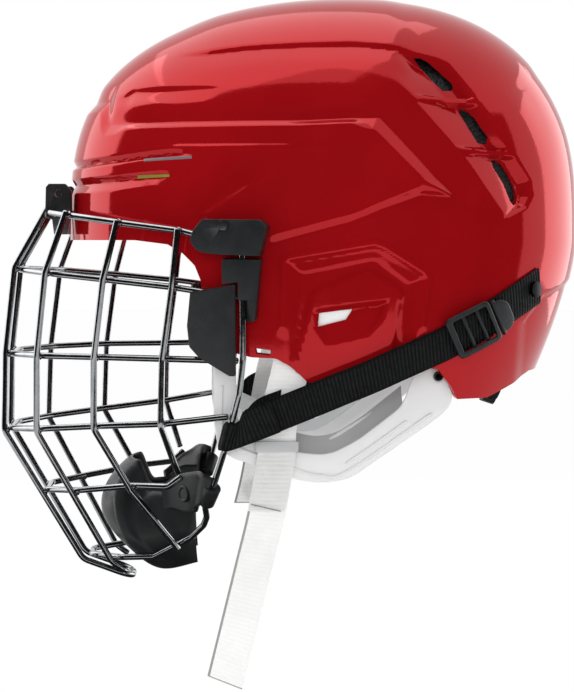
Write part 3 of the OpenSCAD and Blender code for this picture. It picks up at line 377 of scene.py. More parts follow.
out = normals_of(rows)
if (out[FOOT_ROWS, COLUMNS // 4] * rows[FOOT_ROWS, COLUMNS // 4]).sum() < 0:
    out = -out
rows = rows + out * moulding(rows)[..., None]
points = np.concatenate([rows.reshape(-1, 3), [[WIDE_X, 0, CROWN_HEIGHT + BAND_RISE]]])
i, j = np.meshgrid(np.arange(len(rows) - 1), np.arange(COLUMNS), indexing="ij")
k = (j + 1) % COLUMNS
quads = np.stack([i * COLUMNS + j, i * COLUMNS + k, (i + 1) * COLUMNS + k, (i + 1) * COLUMNS + j], -1)
last = (len(rows) - 1) * COLUMNS
fan = [(last + j, last + (j + 1) % COLUMNS, len(points) - 1) for j in range(COLUMNS)]


def make_piece(name, points, faces, smooth_angle=40):
    """A mesh object from points in mm, smooth but for edges sharper than the angle."""
    mesh = bpy.data.meshes.new(name)
    corners = (np.asarray(points, float) * MM).tolist()
    mesh.from_pydata(corners, [], [tuple(int(v) for v in f) for f in faces])
    mesh.validate()
    mesh.shade_smooth()
    mesh.set_sharp_from_angle(angle=math.radians(smooth_angle))
    piece = bpy.data.objects.new(name, mesh)
    scene.collection.objects.link(piece)
    return piece


def use_modifiers(piece, smooth_angle):
    """Applies a piece's modifiers, so that its mesh is final."""
    graph = bpy.context.evaluated_depsgraph_get()
    mesh = bpy.data.meshes.new_from_object(piece.evaluated_get(graph))
    piece.modifiers.clear()
    old = piece.data
    piece.data = mesh
    bpy.data.meshes.remove(old)
    mesh.shade_smooth()
    mesh.set_sharp_from_angle(angle=math.radians(smooth_angle))


def cut_through(sheet, outline):
    """Cuts holes through a sheet along an outline in mm seen from the side, on both sides."""
    line = np.array(outline, float)
    low, high = line.min(0) - 2, line.max(0) + 2
    near = [f for f in sheet.faces if low[0] < f.verts[0].co.x / MM < high[0]
            and low[1] < f.verts[0].co.z / MM < high[1]]
    for (ax, az), (bx, bz) in zip(line, np.roll(line, -1, 0)):
        geometry = set(near) | {e for f in near for e in f.edges} | {v for f in near for v in f.verts}
        cut = bmesh.ops.bisect_plane(sheet, geom=list(geometry), dist=1e-7, plane_co=(ax * MM, 0, az * MM),
                                     plane_no=(az - bz, 0, bx - ax))
        near = [g for g in cut["geom"] if isinstance(g, bmesh.types.BMFace)]
    middle = np.array([f.calc_center_median() for f in near]) / MM
    inside = gap_to(middle[:, 0], middle[:, 2], outline, closed=True) > 0
    bmesh.ops.delete(sheet, geom=[f for f, gone in zip(near, inside) if gone], context="FACES")


shell = make_piece("moulded_shell", points, quads.reshape(-1, 4).tolist() + fan)
sheet = bmesh.new()
sheet.from_mesh(shell.data)
for outline in VENTS + [EAR_HOLE, TAB_SLOT]:
    cut_through(sheet, outline)
sheet.to_mesh(shell.data)
sheet.free()
wall = shell.modifiers.new("wall", "SOLIDIFY")
wall.thickness = SHELL_WALL * MM
wall.offset = -1
use_modifiers(shell, 50)


def surface(name):
    """A new material, its node tree, and the socket of places on the piece in metres."""
    material = bpy.data.materials.new(name)
    material.use_nodes = True
    return material, material.node_tree, add(material.node_tree, "TexCoord").outputs["Object"]


def stand_in(piece, node, body, material=None):
    """Lets a piece stand for its CAD node, with its material and the body that it rides."""
    if material:
        piece.data.materials.clear()
        piece.data.materials.append(material)
    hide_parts(node)
    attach(piece, body)


red_abs, tree, place = surface("lacquered_red_abs")
# Pigment varies a little in depth over a hand's breadth, and the lacquer has a faint orange peel
cloud = add(tree, "TexNoise", {"Vector": place, "Scale": 22.0, "Detail": 3.0, "Roughness": 0.5})
tone = add(tree, "ValToRGB", {"Fac": cloud.outputs["Fac"]}, ((0.35, "#930b11"), (0.65, "#9b0d13")))
peel = add(tree, "TexNoise", {"Vector": place, "Scale": 700.0, "Detail": 1.0})
peel_bump = add(tree, "Bump", {"Height": peel.outputs["Fac"], "Strength": 0.05, "Distance": 0.0002})
# Rubbed patches where a hand or a bag touches it
rub = add(tree, "TexNoise", {"Vector": place, "Scale": 90.0, "Detail": 5.0, "Roughness": 0.65})
rough = add(tree, "MapRange", {"Value": rub.outputs["Fac"], "From Min": 0.45, "From Max": 0.75,
                               "To Min": 0.07, "To Max": 0.11})
# The pearl under the lacquer gives back a strong gloss that keeps the paint's own red
feed(tree.nodes["Principled BSDF"], {
    "Base Color": tone.outputs["Color"], "Roughness": rough.outputs["Result"],
    "Normal": peel_bump.outputs["Normal"], "IOR": 1.8, "Specular IOR Level": 1.0,
    "Specular Tint": linear("#ff5c60")})
stand_in(shell, "outer_shell", "helmet", red_abs)


# Foam liner
# Five blocks of black expanded polypropylene, steam-moulded from beads to fit inside the shell.
# The beads leave a fine pebbled skin, and the edges are rounded by the mould.
FOAM_T, GAP, RELIEF, LOW_REACH = 17.0, 0.3, 2.4, 88.0
LINER_IN = SHELL_WALL + RELIEF + 1.3
FRONT_IN = SHELL_WALL + 0.6 * RELIEF + 1.5 * GAP
LINER_HIGH, CROWN_LOW = 0.42, 0.47


def dome_in(turn, v, inset):
    """A point of the dome by turn in degrees and height share, so many mm in from the outside."""
    a = np.radians(turn)
    c, s = np.cos(a), np.sin(a)
    c2, ahead = c * c, c > 0
    rise, round_, tuck = (m + (np.where(ahead, f, r) - m) * c2 for f, m, r in (RISE, ROUND, TUCK))
    e = np.pi / 2 * np.clip(v, 0, 1)
    z = np.where(v > 0, (CROWN_HEIGHT - inset) * np.sin(e) ** (2 / rise), v * LOW_REACH)
    share = np.where(v > 0, np.cos(e) ** (2 / round_), 1 - tuck * (np.clip(-z, 0, None) / TUCK_Z) ** 1.5)
    half = np.where(ahead, SHELL_FRONT + WIDE_X, SHELL_REAR - WIDE_X)
    return np.stack([WIDE_X - (half - inset) * share * np.sign(c) * np.abs(c) ** (2 / PLAN_P),
                     -(SHELL_WIDTH / 2 - inset) * share * np.sign(s) * np.abs(s) ** (2 / PLAN_P), z], -1)


def slab_faces(rows, cols):
    """Quads over an outer and an inner grid of points, closed round their edges."""
    n = rows * cols
    faces = []
    for i in range(rows - 1):
        for j in range(cols - 1):
            a, b, c, d = i * cols + j, i * cols + j + 1, (i + 1) * cols + j + 1, (i + 1) * cols + j
            faces += [(a, d, c, b), (n + a, n + b, n + c, n + d)]
        a, b = i * cols, (i + 1) * cols
        faces += [(a, n + a, n + b, b), (a + cols - 1, b + cols - 1, n + b + cols - 1, n + a + cols - 1)]
    for j in range(cols - 1):
        a = (rows - 1) * cols + j
        faces += [(j, j + 1, n + j + 1, n + j), (a, n + a, n + a + 1, a + 1)]
    return faces


def tidy_normals(piece, smooth_angle=40):
    """Turns a closed piece's faces outward."""
    bm = bmesh.new()
    bm.from_mesh(piece.data)
    bmesh.ops.recalc_face_normals(bm, faces=bm.faces)
    bm.to_mesh(piece.data)
    bm.free()
    piece.data.set_sharp_from_angle(angle=math.radians(smooth_angle))
    return piece


def make_slab(name, outer, inner, smooth_angle=40):
    """A closed piece between two grids of points in mm."""
    points = np.concatenate([outer.reshape(-1, 3), inner.reshape(-1, 3)])
    return tidy_normals(make_piece(name, points, slab_faces(*outer.shape[:2]), smooth_angle), smooth_angle)


def soft_pad(name, turns, heights, deep, thick, cols, rows, edge, crown, grooves):
    """A pad along the inside of the dome whose edges roll over within edge mm, with pressed grooves
    across it at shares of its length. crown is from 0, flat, to 1, thinned by a quarter at its rim."""
    tt, vv = np.meshgrid(np.linspace(*turns, cols), np.linspace(*heights, rows))
    outside = dome_in(tt, vv, deep)
    steps = np.linalg.norm(np.diff(outside, axis=1), axis=2).mean(0)
    along = np.concatenate([[0], np.cumsum(steps)])
    steps = np.linalg.norm(np.diff(outside, axis=0), axis=2).mean(1)
    up = np.concatenate([[0], np.cumsum(steps)])
    rim_gap = np.minimum(np.minimum(along, along[-1] - along)[None, :],
                         np.minimum(up, up[-1] - up)[:, None])
    roll = np.sqrt(np.clip(1 - (1 - np.clip(rim_gap / edge, 0, 1)) ** 2, 0.02, 1))
    full = thick * (1 - crown * 0.25 + crown * 0.25 * smooth(rim_gap / 22)) * roll
    for place in grooves:
        d = np.abs(along - place * along[-1])[None, :]
        full = full * (1 - 0.45 * (1 - smooth(d / 3.2)))
    face = deep + 0.35 * thick * (1 - roll)
    return make_slab(name, dome_in(tt, vv, face), dome_in(tt, vv, np.minimum(face + full, deep + thick)))


foam_skin, tree, place = surface("moulded_bead_foam")
# Foam beads about 3 mm across, darker in the seams between them
beads = add(tree, "TexVoronoi", {"Vector": place, "Scale": 330.0}, feature="F1")
bead_tone = add(tree, "ValToRGB", {"Fac": beads.outputs["Distance"]}, ((0, "#2c2d2f"), (1, "#1d1e1f")))
bead_bump = add(tree, "Bump", {"Height": beads.outputs["Distance"], "Strength": 0.5, "Distance": 0.0005},
                invert=True)
feed(tree.nodes["Principled BSDF"], {
    "Base Color": bead_tone.outputs["Color"], "Normal": bead_bump.outputs["Normal"], "Roughness": 0.72})

blocks = [("front_liner", (-54, 54), (0.07, LINER_HIGH), FRONT_IN, 60, 24, (0.25, 0.5, 0.75)),
          ("left_liner", (62, 122), (-0.45, LINER_HIGH), LINER_IN, 44, 44, (0.5,)),
          ("right_liner", (-62, -122), (-0.45, LINER_HIGH), LINER_IN, 44, 44, (0.5,)),
          ("rear_liner", (129, 231), (-0.3, LINER_HIGH), LINER_IN, 60, 40, (0.33, 0.67))]
for node, turns, heights, deep, cols, rows, grooves in blocks:
    block = soft_pad(node + "_block", turns, heights, deep, FOAM_T, cols, rows, 3.0, 0.15, grooves)
    stand_in(block, node, "helmet", foam_skin)

# The crown's block is a cap, with a flute pressed in every 60 degrees
cols, rows, ROLL_IN = 120, 26, 4
tt, vv = np.meshgrid(np.linspace(0, 360, cols, endpoint=False), np.linspace(CROWN_LOW, 0.985, rows))
roll = np.sqrt(np.clip(1 - (1 - np.clip((vv - CROWN_LOW) / 0.03, 0, 1)) ** 2, 0.02, 1))
flute = 1 - 0.35 * (1 - smooth(np.abs((tt + 30) % 60 - 30) / 4)) * (vv < 0.9)
deep = LINER_IN + ROLL_IN * (1 - roll)
outside = dome_in(tt, vv, deep).reshape(-1, 3)
inside = dome_in(tt, vv, deep + (FOAM_T - ROLL_IN * (1 - roll)) * roll * flute).reshape(-1, 3)
tops = np.array([[WIDE_X, 0, CROWN_HEIGHT - LINER_IN], [WIDE_X, 0, CROWN_HEIGHT - LINER_IN - FOAM_T]])
n = rows * cols
faces = []
for i in range(rows - 1):
    for j in range(cols):
        a, b = i * cols + j, i * cols + (j + 1) % cols
        faces += [(a, a + cols, b + cols, b), (n + a, n + b, n + b + cols, n + a + cols)]
for j in range(cols):
    a, b = j, (j + 1) % cols
    c, d = (rows - 1) * cols + a, (rows - 1) * cols + b
    faces += [(a, b, n + b, n + a), (c, 2 * n, d), (n + c, n + d, 2 * n + 1)]
crown = tidy_normals(make_piece("crown_liner_block", np.concatenate([outside, inside, tops]), faces))
stand_in(crown, "crown_liner", "helmet", foam_skin)


# Comfort pads
# Soft foam in brushed black polyester, welded round the edge and quilted across. They line the
# forehead and the temples and are stuck on the foam blocks.
pad_cloth, tree, place = surface("brushed_black_polyester")
# Knit loops about 1.1 mm apart, a little coarser than real so that they show
loops = add(tree, "TexVoronoi", {"Vector": place, "Scale": 900.0}, feature="SMOOTH_F1")
nap = add(tree, "TexNoise", {"Vector": place, "Scale": 260.0, "Detail": 4.0})
nap_tone = add(tree, "ValToRGB", {"Fac": nap.outputs["Fac"]}, ((0.3, "#131415"), (0.7, "#232426")))
loop_bump = add(tree, "Bump", {"Height": loops.outputs["Distance"], "Strength": 0.6, "Distance": 0.0004})
feed(tree.nodes["Principled BSDF"], {
    "Base Color": nap_tone.outputs["Color"], "Normal": loop_bump.outputs["Normal"], "Roughness": 0.88,
    "Sheen Weight": 0.3, "Sheen Roughness": 0.5})

PAD_T = 6.0
PAD_IN = LINER_IN + FOAM_T + GAP
pads = [("forehead_pad", (-42, 42), (0.09, 0.34), FRONT_IN + FOAM_T + GAP, 90, 26, (0.2, 0.4, 0.6, 0.8)),
        ("left_temple_pad", (68, 116), (-0.36, 0.3), PAD_IN, 46, 50, (0.5,)),
        ("right_temple_pad", (-68, -116), (-0.36, 0.3), PAD_IN, 46, 50, (0.5,))]
for node, turns, heights, deep, cols, rows, grooves in pads:
    pad = soft_pad(node + "_cover", turns, heights, deep, PAD_T, cols, rows, 5.0, 0.6, grooves)
    stand_in(pad, node, "helmet", pad_cloth)


# Vent screens
# Black woven mesh heat-staked behind the six rear vents. The holes of the real mesh are about
# a millimetre, so they are cut here as a pattern in the surface.
screen_mesh, tree, place = surface("black_vent_mesh")
# Holes about 1.6 mm apart, coarser than real so that they show. The holes are painted near black as painted
# shade for the dark space behind them
holes = add(tree, "TexVoronoi", {"Vector": place, "Scale": 620.0}, feature="F1")
hole_shade_tone = add(tree, "ValToRGB", {"Fac": holes.outputs["Distance"]}, ((0.25, "#050505"), (0.5, "#1b1d1f")))
hole_bump = add(tree, "Bump", {"Height": holes.outputs["Distance"], "Strength": 0.9, "Distance": 0.0006})
feed(tree.nodes["Principled BSDF"], {
    "Base Color": hole_shade_tone.outputs["Color"], "Normal": hole_bump.outputs["Normal"], "Roughness": 0.6})

# Edges sharper than FACET_ANGLE stay crisp, and those sharper than BEVEL_ANGLE are rounded
FACET_ANGLE, BEVEL_ANGLE = 35, 32


def dress(node, material, edge=0.0):
    """Gives a CAD node its material, and rounds its edges by so many mm."""
    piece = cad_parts[node]
    piece.data.materials.clear()
    piece.data.materials.append(material)
    piece.data.shade_smooth()
    piece.data.set_sharp_from_angle(angle=math.radians(FACET_ANGLE))
    if edge:
        weld = piece.modifiers.new("weld", "WELD")
        weld.merge_threshold = 0.01 * MM
        bevel = piece.modifiers.new("edge", "BEVEL")
        bevel.width = edge * MM
        bevel.segments = 3
        bevel.limit_method = "ANGLE"
        bevel.angle_limit = math.radians(BEVEL_ANGLE)
        bevel.harden_normals = True


for side in ("left", "right"):
    dress(side + "_vent_screens", screen_mesh)


# Wire cage
# Carbon steel wire, 3.2 mm, bent on formers, spot-welded where the wires cross and nickel-chrome
# plated. The plating mirrors the room in thin stripes along each wire.
WIRE_D, BEND_R, WELD, BAR_OVER = 3.2, 5.0, 3.35, 1.5
HINGE_X, HINGE_Z = -137.0, 13.9
CAGE_LOW = HINGE_Z - 178
SIDE_REACH = 4.6
# The sheared tip of a wire: steps along it from its end in mm, with the share of its thickness there
TIP_START, TIP_END = ((0.0, 0.55), (0.35, 0.88), (0.8, 1.0)), ((-0.35, 1.0), (-0.12, 0.88), (0.0, 0.55))
BEAD_SIZE = (2.0, 2.0, 1.15)
SIDES = ((1, "left"), (-1, "right"))
vec = np.array

chrome, tree, place = surface("nickel_chrome_plated_wire")
# Handling leaves dull patches a few millimetres across on the bright plating
handled = add(tree, "TexNoise", {"Vector": place, "Scale": 140.0, "Detail": 5.0, "Roughness": 0.7})
rough = add(tree, "MapRange", {"Value": handled.outputs["Fac"], "From Min": 0.4, "From Max": 0.75,
                               "To Min": 0.08, "To Max": 0.2})
tone = add(tree, "ValToRGB", {"Fac": handled.outputs["Fac"]}, ((0.3, "#8f9193"), (0.7, "#adafb1")))
ripple = add(tree, "Bump", {"Height": handled.outputs["Fac"], "Strength": 0.08, "Distance": 0.0003})
feed(tree.nodes["Principled BSDF"], {
    "Base Color": tone.outputs["Color"], "Roughness": rough.outputs["Result"],
    "Normal": ripple.outputs["Normal"], "Metallic": 1.0})


def unit(v):
    v = vec(v, float)
    return v / np.linalg.norm(v)


def flip(p):
    """The same place on the wearer's other side."""
    return vec([p[0], -p[1], p[2]])


def beside(x, z):
    """A place on the wearer's left where a wire clears the shell."""
    return vec([x, -float(side_y(x, z)) - SIDE_REACH, z])


def bent(corners, radius, step=7.5):
    """The middle line of a wire bent to a radius at each of its corners."""
    corners = [vec(p, float) for p in corners]
    line = [corners[0]]
    for a, p, b in zip(corners[:-2], corners[1:-1], corners[2:]):
        d1, d2 = unit(p - a), unit(b - p)
        turn = math.acos(max(-1, min(1, d1 @ d2)))
        if turn < 0.01:
            continue
        inward = unit(d2 - d1 * (d1 @ d2))
        start = p - radius * math.tan(turn / 2) * d1
        count = max(2, math.ceil(math.degrees(turn) / step))
        angles = [turn * k / count for k in range(count + 1)]
        line += [start + radius * (math.sin(a) * d1 + (1 - math.cos(a)) * inward) for a in angles]
    return line + [corners[-1]]


def make_wire(name, line, d=WIRE_D, sides=18):
    """A round wire with softly rounded ends along a line of points."""
    line = vec(line)
    dirs = [unit(line[min(i + 1, len(line) - 1)] - line[max(i - 1, 0)]) for i in range(len(line))]
    side = unit(np.cross(dirs[0], [1, 0, 0] if abs(dirs[0][2]) > 0.9 else [0, 0, 1]))
    rings = []
    for i, (p, u) in enumerate(zip(line, dirs)):
        side = unit(side - u * (side @ u))
        steps = TIP_START if i == 0 else TIP_END if i == len(line) - 1 else ((0.0, 1.0),)
        rings += [(p + ahead * u, u, side, share) for ahead, share in steps]
    angle = 2 * np.pi * np.arange(sides) / sides
    c, s = np.cos(angle)[:, None], np.sin(angle)[:, None]
    points = np.concatenate([q + d / 2 * share * (c * side + s * np.cross(u, side))
                             for q, u, side, share in rings])
    faces = [tuple(range(sides - 1, -1, -1)), tuple((len(rings) - 1) * sides + k for k in range(sides))]
    for i in range(len(rings) - 1):
        for k in range(sides):
            a, b = i * sides + k, i * sides + (k + 1) % sides
            faces.append((a, b, b + sides, a + sides))
    return make_piece(name, points, faces, 50)


def fit_wire(node, line):
    """One of the cage's wires, standing for its CAD node."""
    stand_in(make_wire(node + "_bent", line), node, "cage", chrome)


SIDE_LINE = [(-49, 0), (-42.5, -2.5), (-42, -40), (-42, -57)]
brow_half = [vec(p) for p in (
    (HINGE_X, -34.5, HINGE_Z), (HINGE_X + 12, -55, HINGE_Z - 2), (HINGE_X + 37, -75, HINGE_Z - 5.6),
    (HINGE_X + 65.5, -84.5, HINGE_Z - 9.4))] + [beside(-60, 1.4), beside(-49.45, 0.05)]
fit_wire("brow_wire", bent(brow_half[::-1] + [flip(p) for p in brow_half], BEND_R))

LOOP_FROM, LOOP_TO, LOOP_END = vec([-44, -85.5, -74]), vec([-51, -79, -102]), vec([-56, -71, CAGE_LOW + 45])
RING_END = vec([-60.2, -61.5, CAGE_LOW + 34])
frame_line = [beside(x, z) for x, z in SIDE_LINE] + [LOOP_FROM, LOOP_TO, LOOP_END, RING_END]
frame_line += [vec(p) for p in (
    (-59.3, -56.5, CAGE_LOW + 27.5), (-60.8, -53, CAGE_LOW + 23), (-67, -47, CAGE_LOW + 16),
    (-86, -33, CAGE_LOW + 4.2), (-103, -24.5, CAGE_LOW + 2.6), (-118.4, -9, CAGE_LOW + 2.2),
    (-118.4, -0.05, CAGE_LOW + 2.2))]

# Where each bar crosses each level, bars from the middle out and levels from the brow down
BAR_X = [HINGE_X - 19.6, HINGE_X - 1.5, HINGE_X + 27.7, HINGE_X + 61]
BAR_SIDE = [(18, 18, 18), (53.5, 47, 40.5), (73, 66, 56), (82.5, 77, 75)]
LEVEL_BOW, LEVEL_Z, LEVEL_SLOPE = (0, -4.8, -5.6), (HINGE_Z - 27.8, -57.5, -97), (-0.11, 0, 0.09)
LEVEL_4 = [vec([-143.5, -15, CAGE_LOW + 34.7]), vec([-125.8, -34.5, CAGE_LOW + 36.6]),
           vec([-97.5, -48, CAGE_LOW + 40.5])]
BAR_TOP = [vec([HINGE_X, -18, HINGE_Z]), vec([HINGE_X + 11.5, -54, HINGE_Z - 2]),
           vec([HINGE_X + 36.4, -74.5, HINGE_Z - 5.6]), vec([HINGE_X + 65, -84.4, HINGE_Z - 9.4])]
BAR_END = [
    [vec([HINGE_X + 14, -12, CAGE_LOW]), vec([HINGE_X + 39.5, -12, CAGE_LOW - 9.5]),
     vec([HINGE_X + 39.5, -0.05, CAGE_LOW - 9.5])],
    [vec([HINGE_X + 29.5, -28.5, CAGE_LOW + 1]), vec([HINGE_X + 36, -27, CAGE_LOW - 3.6])],
    [LEVEL_4[2], vec([-73.4, -46, CAGE_LOW + 9.6])],
    [vec([-73.5, -62.5, CAGE_LOW + 50])]]


def cross_at(k, j):
    """Where bar k crosses level j on the wearer's left."""
    z = LEVEL_Z[j] + LEVEL_SLOPE[j] * (BAR_X[k] - BAR_X[0])
    return vec([BAR_X[k] + LEVEL_BOW[j], -BAR_SIDE[k][j], z])


def outside(p, bar_dir, wire_dir):
    """The bar's place where it leans on the outside of the wire that it crosses."""
    n = unit(np.cross(bar_dir, wire_dir))
    return p + WELD * (n if n @ (p - vec([-40, 0, p[2]])) > 0 else -n)


def bar_line(k):
    """The corners of bar k, from the brow wire down."""
    first = cross_at(k, 0)
    wire_dir = vec([0, 1, 0]) if k == 0 else unit(BAR_TOP[min(k + 1, 3)] - BAR_TOP[k - 1])
    top_end = outside(BAR_TOP[k], first - BAR_TOP[k], wire_dir)
    return [top_end + BAR_OVER * unit(top_end - first)] + [cross_at(k, j) for j in range(3)] + BAR_END[k]


def bar_dir_at(k, j):
    """The way that bar k runs where it crosses level j."""
    if j == 0:
        return cross_at(k, 1) - BAR_TOP[k]
    if j == 1:
        return cross_at(k, 2) - cross_at(k, 0)
    if j == 2:
        return (BAR_END[k][0] if k < 2 else LEVEL_4[2]) - cross_at(k, 1)
    return (BAR_END[k][0] if k < 2 else BAR_END[2][1]) - cross_at(k, 2)


LEVEL_END = [[beside(-44.4, -27)], [beside(-44.2, -57.5)], [vec([-49, -83, -84.5])],
             [vec([-78.4, -57, CAGE_LOW + 42.5]), vec([-71.5, -60, CAGE_LOW + 48])]]
HOOP_R, BAR_BEND_R = 12.0, 1.6 * BEND_R
beads = []


def hoop_half(j):
    """The left half of cross wire j, which runs on the inside of the bars."""
    crossings = [cross_at(k, j) for k in range(4)] if j < 3 else LEVEL_4
    line = []
    for k, p in enumerate(crossings):
        before = flip(crossings[0]) if k == 0 else crossings[k - 1]
        d = unit(crossings[min(k + 1, len(crossings) - 1)] - before)
        inner = 2 * p - outside(p, unit(bar_dir_at(k, j)), d)
        line.append(inner)
        beads.append((p, inner))
    return line + LEVEL_END[j]


def on_side(line, side):
    """A line of the wearer's left, or its mirror image where side is -1."""
    return [p if side > 0 else flip(p) for p in line]


for j in range(4):
    half = hoop_half(j)
    line = bent(half[::-1] + on_side(half, -1), HOOP_R if j < 3 else BEND_R, 5)
    fit_wire(f"cross_wire_{j + 1}", line)
for side, name in SIDES:
    fit_wire(name + "_frame_wire", on_side(bent(frame_line, BEND_R), side))
    for k in range(4):
        fit_wire(f"{name}_bar_{k + 1}", on_side(bent(bar_line(k), BAR_BEND_R), side))
for k in range(4):
    line = bar_line(k)
    beads.append((line[0] + BAR_OVER * unit(line[1] - line[0]), BAR_TOP[k]))

# Weld beads, one flattened drop of metal in each crossing
points, faces = [], []
ball = bmesh.new()
bmesh.ops.create_uvsphere(ball, u_segments=14, v_segments=8, radius=1)
ball_points = vec([v.co for v in ball.verts]) * BEAD_SIZE
ball_faces = [[v.index for v in f.verts] for f in ball.faces]
ball.free()
for a, b in beads:
    for p, q in ((a, b), (flip(a), flip(b))):
        n = unit(q - p)
        u = unit(np.cross(n, [0, 0, 1]))
        w = np.cross(n, u)
        faces += [[len(points) * len(ball_points) + i for i in f] for f in ball_faces]
        points.append((p + q) / 2 + ball_points[:, :1] * u + ball_points[:, 1:2] * w
                      + ball_points[:, 2:] * n)
welds = make_piece("weld_beads", np.concatenate(points), faces)
welds.data.materials.append(chrome)
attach(welds, "cage")


# Ear guards
# Clear polycarbonate plates, 2.5 mm, moulded with a rolled lip that turns in under the ear, and
# riveted inside the shell. The plate is frosted, and the thick lip looks grey from the side.
GUARD_Y, GUARD_T, GUARD_DROP, GUARD_IN, GUARD_RISE = 72.8, 2.5, 118.0, 9.0, 9.0
LIP_PATH = [(-42, -92), (-15, -103), (0, -104), (14, -97), (36, -80)]
GUARD_OUTLINE = [(-45, -40), (-45, -84), *LIP_PATH, (42, -62), (54, -58), (60, -68), (60, -80), (52, -87),
                 (10, 2 - GUARD_DROP), (-4, -GUARD_DROP), (-17, 2 - GUARD_DROP), (-48, -105), (-54, -100),
                 (-56, -88), (-56, -64), (-54, -40)]
GUARD_RIVETS = [(-50, -45), (53, -66)]
RIVET_D, BEAD_D, SLOT_D = 3.8, 1.6, 2.6
BEAD_PATHS = [([(-52, -70), (-52, -88), (-48.5, -98), (-16, -111), (-4, -114), (9, -112), (50, -84)], 60),
              ([(8, -108.5), (22, -99), (38, -87.5)], 24)]
SLOT_ENDS = [(0.6, -98.6), (21.3, -83.3)]


def rounded(outline, radius, steps=6):
    """A closed outline with its corners rounded, by no more than the edges beside them allow."""
    pts = [np.array(p, float) for p in outline]
    line = []
    for a, p, b in zip(pts[-1:] + pts[:-1], pts, pts[1:] + pts[:1]):
        d1, d2 = (p - a) / np.linalg.norm(p - a), (b - p) / np.linalg.norm(b - p)
        reach = min(radius, 0.48 * np.linalg.norm(p - a), 0.48 * np.linalg.norm(b - p))
        start, stop = p - reach * d1, p + reach * d2
        for k in range(steps + 1):
            t = k / steps
            line.append((1 - t) ** 2 * start + 2 * t * (1 - t) * p + t * t * stop)
    return line


def ring_hole(place, d, steps=24):
    """The outline of a round hole."""
    return [np.array(place) + d / 2 * np.array([math.cos(t), -math.sin(t)])
            for t in 2 * np.pi * np.arange(steps) / steps]


def plate(name, outlines, thick, edge, place, cell=0):
    """A plate cut to outlines in u and v with rounded edges. place() maps u, v, w in mm to the
    model, with w from 0 at the back to the plate's thickness in front. A plate that has to bend
    is cut into cells of so many mm."""
    curve = bpy.data.curves.new(name, "CURVE")
    curve.dimensions = "2D"
    curve.fill_mode = "BOTH"
    curve.extrude = thick / 2 - edge
    curve.bevel_depth = edge
    curve.bevel_resolution = 2
    curve.offset = -edge
    for outline in outlines:
        spline = curve.splines.new("POLY")
        spline.points.add(len(outline) - 1)
        for point, (u, v) in zip(spline.points, outline):
            point.co = (u, v, 0, 1)
        spline.use_cyclic_u = True
    holder = bpy.data.objects.new(name, curve)
    scene.collection.objects.link(holder)
    graph = bpy.context.evaluated_depsgraph_get()
    flat_mesh = bpy.data.meshes.new_from_object(holder.evaluated_get(graph))
    bpy.data.objects.remove(holder)
    bm = bmesh.new()
    bm.from_mesh(flat_mesh)
    bmesh.ops.remove_doubles(bm, verts=bm.verts, dist=0.002)
    if cell:
        spans = [(min(v.co[i] for v in bm.verts), max(v.co[i] for v in bm.verts)) for i in (0, 1)]
        for normal, (low, high) in zip((Vector((1, 0, 0)), Vector((0, 1, 0))), spans):
            for k in range(1, int((high - low) / cell)):
                bmesh.ops.bisect_plane(bm, geom=bm.verts[:] + bm.edges[:] + bm.faces[:],
                                       plane_co=(low + k * cell) * normal, plane_no=normal, dist=0.001)
    points = [place(v.co[0], v.co[1], v.co[2] + thick / 2) for v in bm.verts]
    faces = [[v.index for v in f.verts] for f in bm.faces]
    bm.free()
    bpy.data.meshes.remove(flat_mesh)
    return tidy_normals(make_piece(name, points, faces, FACET_ANGLE), FACET_ANGLE)


def eased(points, count):
    """A smooth line of so many points through the given ones."""
    pts = np.array(points, float)
    ends = np.concatenate([2 * pts[:1] - pts[1:2], pts, 2 * pts[-1:] - pts[-2:-1]])
    spans = len(pts) - 1
    line = []
    for t in np.linspace(0, spans, count):
        i = min(int(t), spans - 1)
        f = t - i
        a, b, c, d = ends[i:i + 4]
        line.append(0.5 * (2 * b + (c - a) * f + (2 * a - 5 * b + 4 * c - d) * f * f
                           + (3 * b - a - 3 * c + d) * f ** 3))
    return np.array(line)


def mirrored(piece, name):
    """The same piece for the wearer's other side."""
    mesh = piece.data.copy()
    mesh.transform(Matrix.Diagonal((1, -1, 1, 1)))
    mesh.flip_normals()
    twin = bpy.data.objects.new(name, mesh)
    scene.collection.objects.link(twin)
    return twin


def joined(name, pieces):
    """One object from several, which keep their materials."""
    bpy.ops.object.select_all(action="DESELECT")
    for piece in pieces:
        piece.select_set(True)
    bpy.context.view_layer.objects.active = pieces[0]
    bpy.ops.object.join()
    pieces[0].name = name
    return pieces[0]


def fit_pair(piece, node, body="helmet", material=None):
    """Lets a left piece stand for its CAD node, and its mirrored twin for the right one."""
    stand_in(piece, node, body, material)
    node, body = node.replace("left", "right"), body.replace("left", "right")
    stand_in(mirrored(piece, piece.name.replace("left", "right")), node, body)


frosted, tree, place = surface("frosted_clear_polycarbonate")
# A spark-eroded frost of about 0.7 mm, coarser than real so that it shows, under fainter smears
frost = add(tree, "TexNoise", {"Vector": place, "Scale": 1500.0, "Detail": 3.0})
smear = add(tree, "TexNoise", {"Vector": place, "Scale": 60.0, "Detail": 4.0})
rough = add(tree, "MapRange", {"Value": smear.outputs["Fac"], "From Min": 0.4, "From Max": 0.7,
                               "To Min": 0.3, "To Max": 0.42})
frost_bump = add(tree, "Bump", {"Height": frost.outputs["Fac"], "Strength": 0.25, "Distance": 0.0002})
tone = add(tree, "ValToRGB", {"Fac": smear.outputs["Fac"]}, ((0, "#f8f8f9"), (1, "#fdfdfd")))
feed(tree.nodes["Principled BSDF"], {
    "Base Color": tone.outputs["Color"], "Roughness": rough.outputs["Result"],
    "Normal": frost_bump.outputs["Normal"], "IOR": 1.58, "Transmission Weight": 0.2})

lip_grey, tree, place = surface("smoked_polycarbonate_lip")
